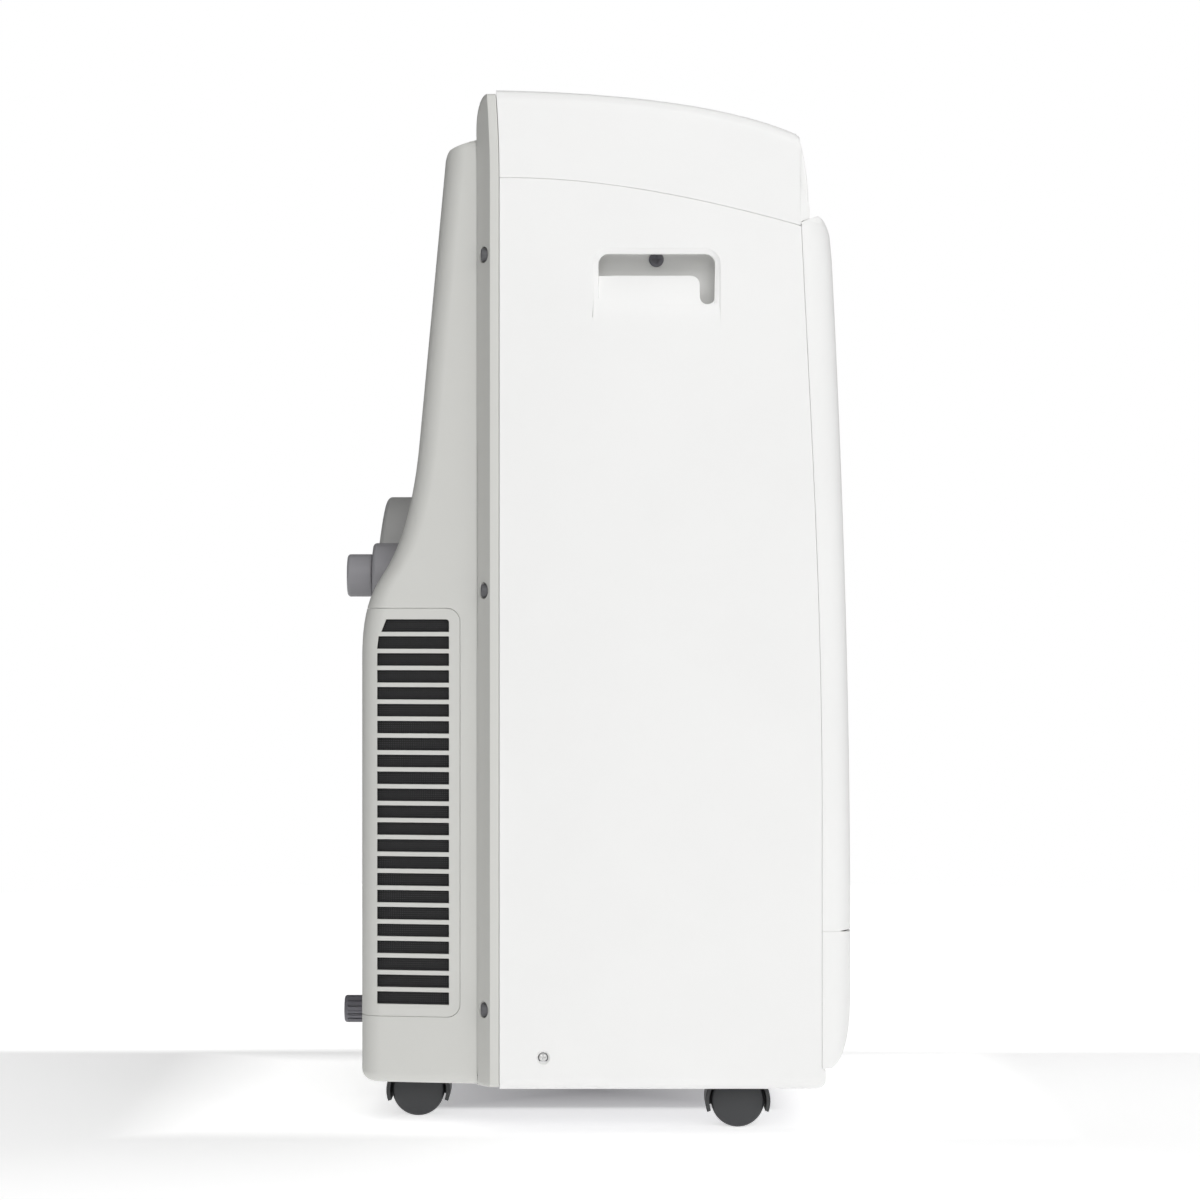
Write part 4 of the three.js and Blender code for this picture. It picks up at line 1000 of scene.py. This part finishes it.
def cover_ring(y, inset=0.0, foot=0.0):
    """The cover's section across the unit, at a distance along it. The roof dips to its middle."""
    top = roof_z(y) + ROOF_DIP - inset
    radius = ROOF_ROUND - inset
    right = [(HALF - inset, cover_seam_z(y) - foot)]
    right += arc(HALF - inset - radius, top - radius, radius, 0, 90, 8)
    for x in range(ROOF_SIDE, ROOF_MIDDLE - 10, -10):
        share = (x - ROOF_MIDDLE) / (ROOF_SIDE - ROOF_MIDDLE)
        right.append((x, top - ROOF_DIP * (1 + math.cos(math.pi * share)) / 2))
    left = [(-x, z) for x, z in reversed(right)]
    return [(x, y, z) for x, z in (*right, *left)]


def on_fascia(piece):
    """Turns a piece drawn about the origin into the tilted frame of the control fascia."""
    turn = Matrix.Rotation(FASCIA["tilt"], 4, "X")
    shift = Matrix.Translation(Vector((0, FASCIA["y"], FASCIA["z"] + DATUM)) * MM)
    piece.data.transform(shift @ turn @ Matrix.Translation((0, 0, -DATUM * MM)))
    return piece


stations = [COVER_REAR, 60, 50, 40, *range(30, -150, -8), -149, -152, COVER_FRONT]
cover = loft("top_cover", [cover_ring(y) for y in stations])
cut(cover, loft("inner", [
    cover_ring(y, WALL, 8) for y in (COVER_REAR + 8, 50, 40, *range(30, -140, -10), -147.5)]))
cut(cover, box("niche", -NICHE["half"], NICHE["half"], -FAR, NICHE["wall"], 600, NICHE["high"]))
cut(cover, prism("mouth", "y", round_rect(
    -MOUTH["half"], MOUTH["half"], MOUTH["low"], MOUTH["high"], 1.5, 4), -FAR, -140))
cut(cover, on_fascia(prism("fascia", "z", round_rect(
    -FASCIA["half"] - GAP, FASCIA["half"] + GAP, -FASCIA["reach"] - GAP, FASCIA["reach"] + GAP,
    4, 6), -8, 20)))
for side in (-1, 1):
    ends = sorted((side * NICHE["half"], side * (HALF - 1)))
    ear = prism("ear", "x", [
        (-149, 671.2), (-155.6, 671.2), (-156.2, 674), (-159, 675), (-162, 676.1), (-162, 684),
        (-160.2, 692), (-154.8, 706), (-149, 706)], *ends)
    cut(ear, rod("hole", "x", PIN["hole"], -PIN["hole_end"], PIN["hole_end"], (0, *FLAP_PIVOT)))
    join(cover, ear)
slice_across(cover, LEAN_LEVELS)
warp(cover, lambda x, y, z: (x, y + lean(z) * max(0, (y - LEAN_Y) / (COVER_REAR - LEAN_Y)), z))
dress(cover, "root", WHITE, ["top_cover"], edge=0.3)

flap_section = [
    *trace((FLAP_PIVOT[0] - FLAP_ROUND, FLAP_PIVOT[1]), [(-161.6, 712), (-155.6, 733.6)], steps=14),
    *trace((-151.8, 733.6), [(-156.6, 712), (FLAP_PIVOT[0] + FLAP_ROUND, FLAP_PIVOT[1] + 1)],
           steps=14),
    *arc(*FLAP_PIVOT, FLAP_ROUND, 0, -170, 10)]
flap = prism("louver_flap", "x", flap_section, -FLAP_HALF, FLAP_HALF)
pin_end = FLAP_HALF + PIN["reach"]
join(flap, rod("pins", "x", PIN["radius"], -pin_end, pin_end, (0, *FLAP_PIVOT), 24))
dress(flap, "louver_flap", WHITE, ["louver_flap"], edge=0.7)

# ------------------------------------------------------------------ control panel

BUTTONS = {"power": -72, "mode": -54, "fan": 36, "up": 54, "down": 72}
BUTTON_R = 5.2
DISPLAY = {"low": -36, "high": 18, "reach": 10}

fascia = prism("control_panel", "z", round_rect(
    -FASCIA["half"], FASCIA["half"], -FASCIA["reach"], FASCIA["reach"], 4, 6), -3, 0)
cut(fascia, *[rod("hole", "z", BUTTON_R + 0.5, -10, 10, (x, 0, 0)) for x in BUTTONS.values()])
cut(fascia, prism("window", "z", round_rect(
    DISPLAY["low"], DISPLAY["high"], -DISPLAY["reach"], DISPLAY["reach"], 1.5, 4), -5, 5))
dress(on_fascia(fascia), "root", FASCIA_BLACK, ["control_panel"], edge=0.3)
window = prism("display_window", "z", round_rect(
    DISPLAY["low"] + 0.3, DISPLAY["high"] - 0.3, 0.3 - DISPLAY["reach"], DISPLAY["reach"] - 0.3,
    1.3, 4), -3, 0.2)
dress(on_fascia(window), "root", GLASS_BLACK, ["display_window"], edge=0.2)
for name, x in BUTTONS.items():
    dome = [(r, 1.2 - 0.5 * (r / (BUTTON_R - 1)) ** 2) for r in (2.8, 1.4)]
    key = lathe(f"button_{name}", "z", [
        (0.01, -6), (BUTTON_R, -6), *arc(BUTTON_R - 0.8, 0.4, 0.8, 0, 90, 5), *dome, (0.01, 0.9)],
        (x, 0, 0), 48)
    dress(on_fascia(key), f"button_{name}", WHITE, [f"button_{name}"], edge=0)

# ------------------------------------------------------------------ casters

WHEEL_R = 20
TRAIL = 12
HOOD_R, HOOD_HALF = 24.5, 17
WEB_HALF = 3
AXLE_R = 3
CASTERS = {
    "front_left": (-174, -122), "front_right": (174, -122),
    "rear_left": (-118, 121), "rear_right": (118, 121)}


def caster(place, x, y):
    """A swivel caster: a hooded fork with its web and stem, and twin wheels on one axle."""
    fork_name, wheels_name = f"caster_{place}_fork", f"caster_{place}_wheels"
    axle = (x, y + TRAIL, WHEEL_R - DATUM)

    def plate(name, half, outline):
        return prism(name, "x", [(axle[1] + a, axle[2] + b) for a, b in outline], x - half, x + half)

    def across(name, radius, half, segments):
        return rod(name, "x", radius, x - half, x + half, (0, *axle[1:]), segments)

    hood = plate(fork_name, HOOD_HALF, [
        *arc(0, 0, HOOD_R, -20, 200, 36), *arc(0, 0, HOOD_R - WALL, 200, -20, 36)])
    web = plate("web", WEB_HALF, [*arc(0, 0, HOOD_R - 1, -10, 190, 30), (-6, -5), (6, -5)])
    join(hood, web, across("hub", 6, WEB_HALF, 32))
    join(hood, rod("collar", "z", 9, 36 - DATUM, 48.5 - DATUM, (x, y, 0), 40))
    join(hood, rod("stem", "z", 5, 44 - DATUM, 61 - DATUM, (x, y, 0), 32))
    cut(hood, across("bore", AXLE_R + 0.5, 40, 24))
    dress(hood, f"caster_{place}_fork", CASTER, [fork_name], edge=0.5)
    inside = WEB_HALF + 1
    profile = [
        (AXLE_R, inside), (WHEEL_R - 3, inside), *arc(WHEEL_R - 1.2, inside + 1.2, 1.2, -90, 0, 4),
        *arc(WHEEL_R - 2.5, 11.5, 2.5, 0, 70, 6), (14, 14.6), (8, 15.1), (0.01, 15.3),
        (0.01, inside)]
    first, second = (
        lathe(wheels_name, "x", [(r, side * s) for r, s in profile], axle, 72) for side in (-1, 1))
    join(first, across("axle", AXLE_R, 6, 24))
    join(first, second)
    dress(first, wheels_name, TREAD, [wheels_name], edge=0.2)


for place, (x, y) in CASTERS.items():
    caster(place, x, y)

# ------------------------------------------------------------------ frame parts kept as they are

KEPT = [
    (NETTING, ["lower_filter", "upper_filter"]),
    (DARK, ["base_tray"]),
    (FOAM, ["float_switch", "drip_pan", "lower_volute"]),
    (BOARD, ["control_board"]),
    (BLACK, ["outlet_duct", "vane_1", "vane_2", "vane_3", "vane_4", "vane_link", "upper_volute",
             "upper_blower_wheel", "lower_blower_wheel", "splash_wheel"]),
    (STEEL, ["front_bulkhead", "louver_motor", "upper_fan_motor", "lower_fan_motor",
             "splash_motor", "electrical_box"]),
    (FINS, ["evaporator_coil", "condenser_coil", "run_capacitor"]),
    (ENAMEL, ["compressor", "accumulator"]),
    (COPPER, ["suction_pipe", "discharge_pipe"])]
for material, names in KEPT:
    for name in names:
        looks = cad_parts[name].data.materials
        looks.clear()
        looks.append(material)

# ------------------------------------------------------------------ floor, light and surroundings


FLOOR_RADIUS = 2000
PAINTED_SHADE_HALF = (0.09, 0.135)  # half sizes of the shade painted into the floor's glow under the unit, in metres
PAINTED_SHADE_SPAN = 20  # the floor's glow is graded out to this many times those
FLOOR_GLOW_AND_PAINTED_SHADE = [  # (share of that distance, share of the full glow); the low shares paint shade under and round the unit
    (0, 0.2), (0.047, 0.5), (0.056, 0.92), (0.095, 0.92), (0.135, 0.45), (0.3, 0.6), (1, 1)]
FAR_FLOOR = (0.19, 0.26)  # where the floor beyond the unit rises to the full glow, in metres


def stage_material(name, colour, glow):
    """A floor that glows softly, with shade under and round the unit painted in by dimming its glow
    there.
    """
    made = Material(name, Roughness=0.9, Emission_Strength=glow)
    made.link(made.tones(made.noise(3), srgb(*colour), srgb(*colour)), "Base Color")
    aside = made.node("ShaderNodeVectorMath", {0: made.place}, operation="ABSOLUTE").outputs[0]
    scaled = made.node("ShaderNodeVectorMath", {0: aside}, operation="DIVIDE")
    scaled.inputs[1].default_value = (*(PAINTED_SHADE_SPAN * half for half in PAINTED_SHADE_HALF), 1)
    sides = made.node("ShaderNodeSeparateXYZ", {0: scaled.outputs[0]}).outputs
    graded = made.node("ShaderNodeValToRGB", {0: made.maths("MAXIMUM", sides[0], sides[1])})
    stops = graded.color_ramp.elements
    for place, share in FLOOR_GLOW_AND_PAINTED_SHADE:
        stop = stops.new(place) if 0 < place < 1 else stops[-1 if place else 0]
        stop.color = (share, share, share, 1)
    along = made.node("ShaderNodeSeparateXYZ", {0: made.place}).outputs[0]
    far = made.spread(along, 0, 1, *FAR_FLOOR)
    made.link(made.maths("MAXIMUM", graded.outputs[0], far), "Emission Color")
    return made.data


floor = prism("floor", "z", arc(0, 0, FLOOR_RADIUS, 0, 360, 120)[:-1], -DATUM - 2, -DATUM)
floor.data.materials.append(stage_material("floor", (250, 250, 250), 0.71))


SKY_ALONG = (0.3, 0.05, -0.4, 0.42)  # strength in front and behind, and where it changes
SKY_UP = (1.8, 1, -0.15, 0)  # the same from below and from above


def studio_sky():
    """Soft light from all round, stronger from the front and from low down. It is seen white."""
    world = bpy.data.worlds.new("studio")
    bpy.context.scene.world = world
    world.use_nodes = True
    made = Nodes(world.node_tree)
    direction = made.node("ShaderNodeTexCoord").outputs["Generated"]
    parts = made.node("ShaderNodeSeparateXYZ", {0: direction}).outputs
    falloff = made.spread(parts["Y"], *SKY_ALONG, interpolation_type="SMOOTHSTEP")
    bounce = made.spread(parts["Z"], *SKY_UP)
    seen = made.node("ShaderNodeLightPath").outputs["Is Camera Ray"]
    strength = made.maths("MAXIMUM", made.maths("MULTIPLY", falloff, bounce), seen)
    backdrop = made.tree.nodes["Background"]
    made.tree.links.new(strength, backdrop.inputs["Strength"])
    backdrop.inputs["Color"].default_value = (1, 1, 1, 1)


def area_light(name, place, target, size, power):
    """A square light of a size in metres and a power in watts, turned to face its target."""
    light = bpy.data.lights.new(name, "AREA")
    light.size = size
    light.energy = power
    lamp = bpy.data.objects.new(name, light)
    lamp.location = place
    lamp.rotation_euler = (Vector(target) - Vector(place)).to_track_quat("-Z", "Y").to_euler()
    bpy.context.scene.collection.objects.link(lamp)


studio_sky()
area_light("key", (-2.6, -1.6, 2.4), (0, 0, 0.4), 1.8, 18)
area_light("front", (-4.0, -0.3, 2.3), (0, 0, 0.5), 3.0, 75)
area_light("top", (-0.5, -0.3, 3.6), (0, 0, 0.2), 3.0, 30)
bpy.context.scene.view_settings.view_transform = "Standard"
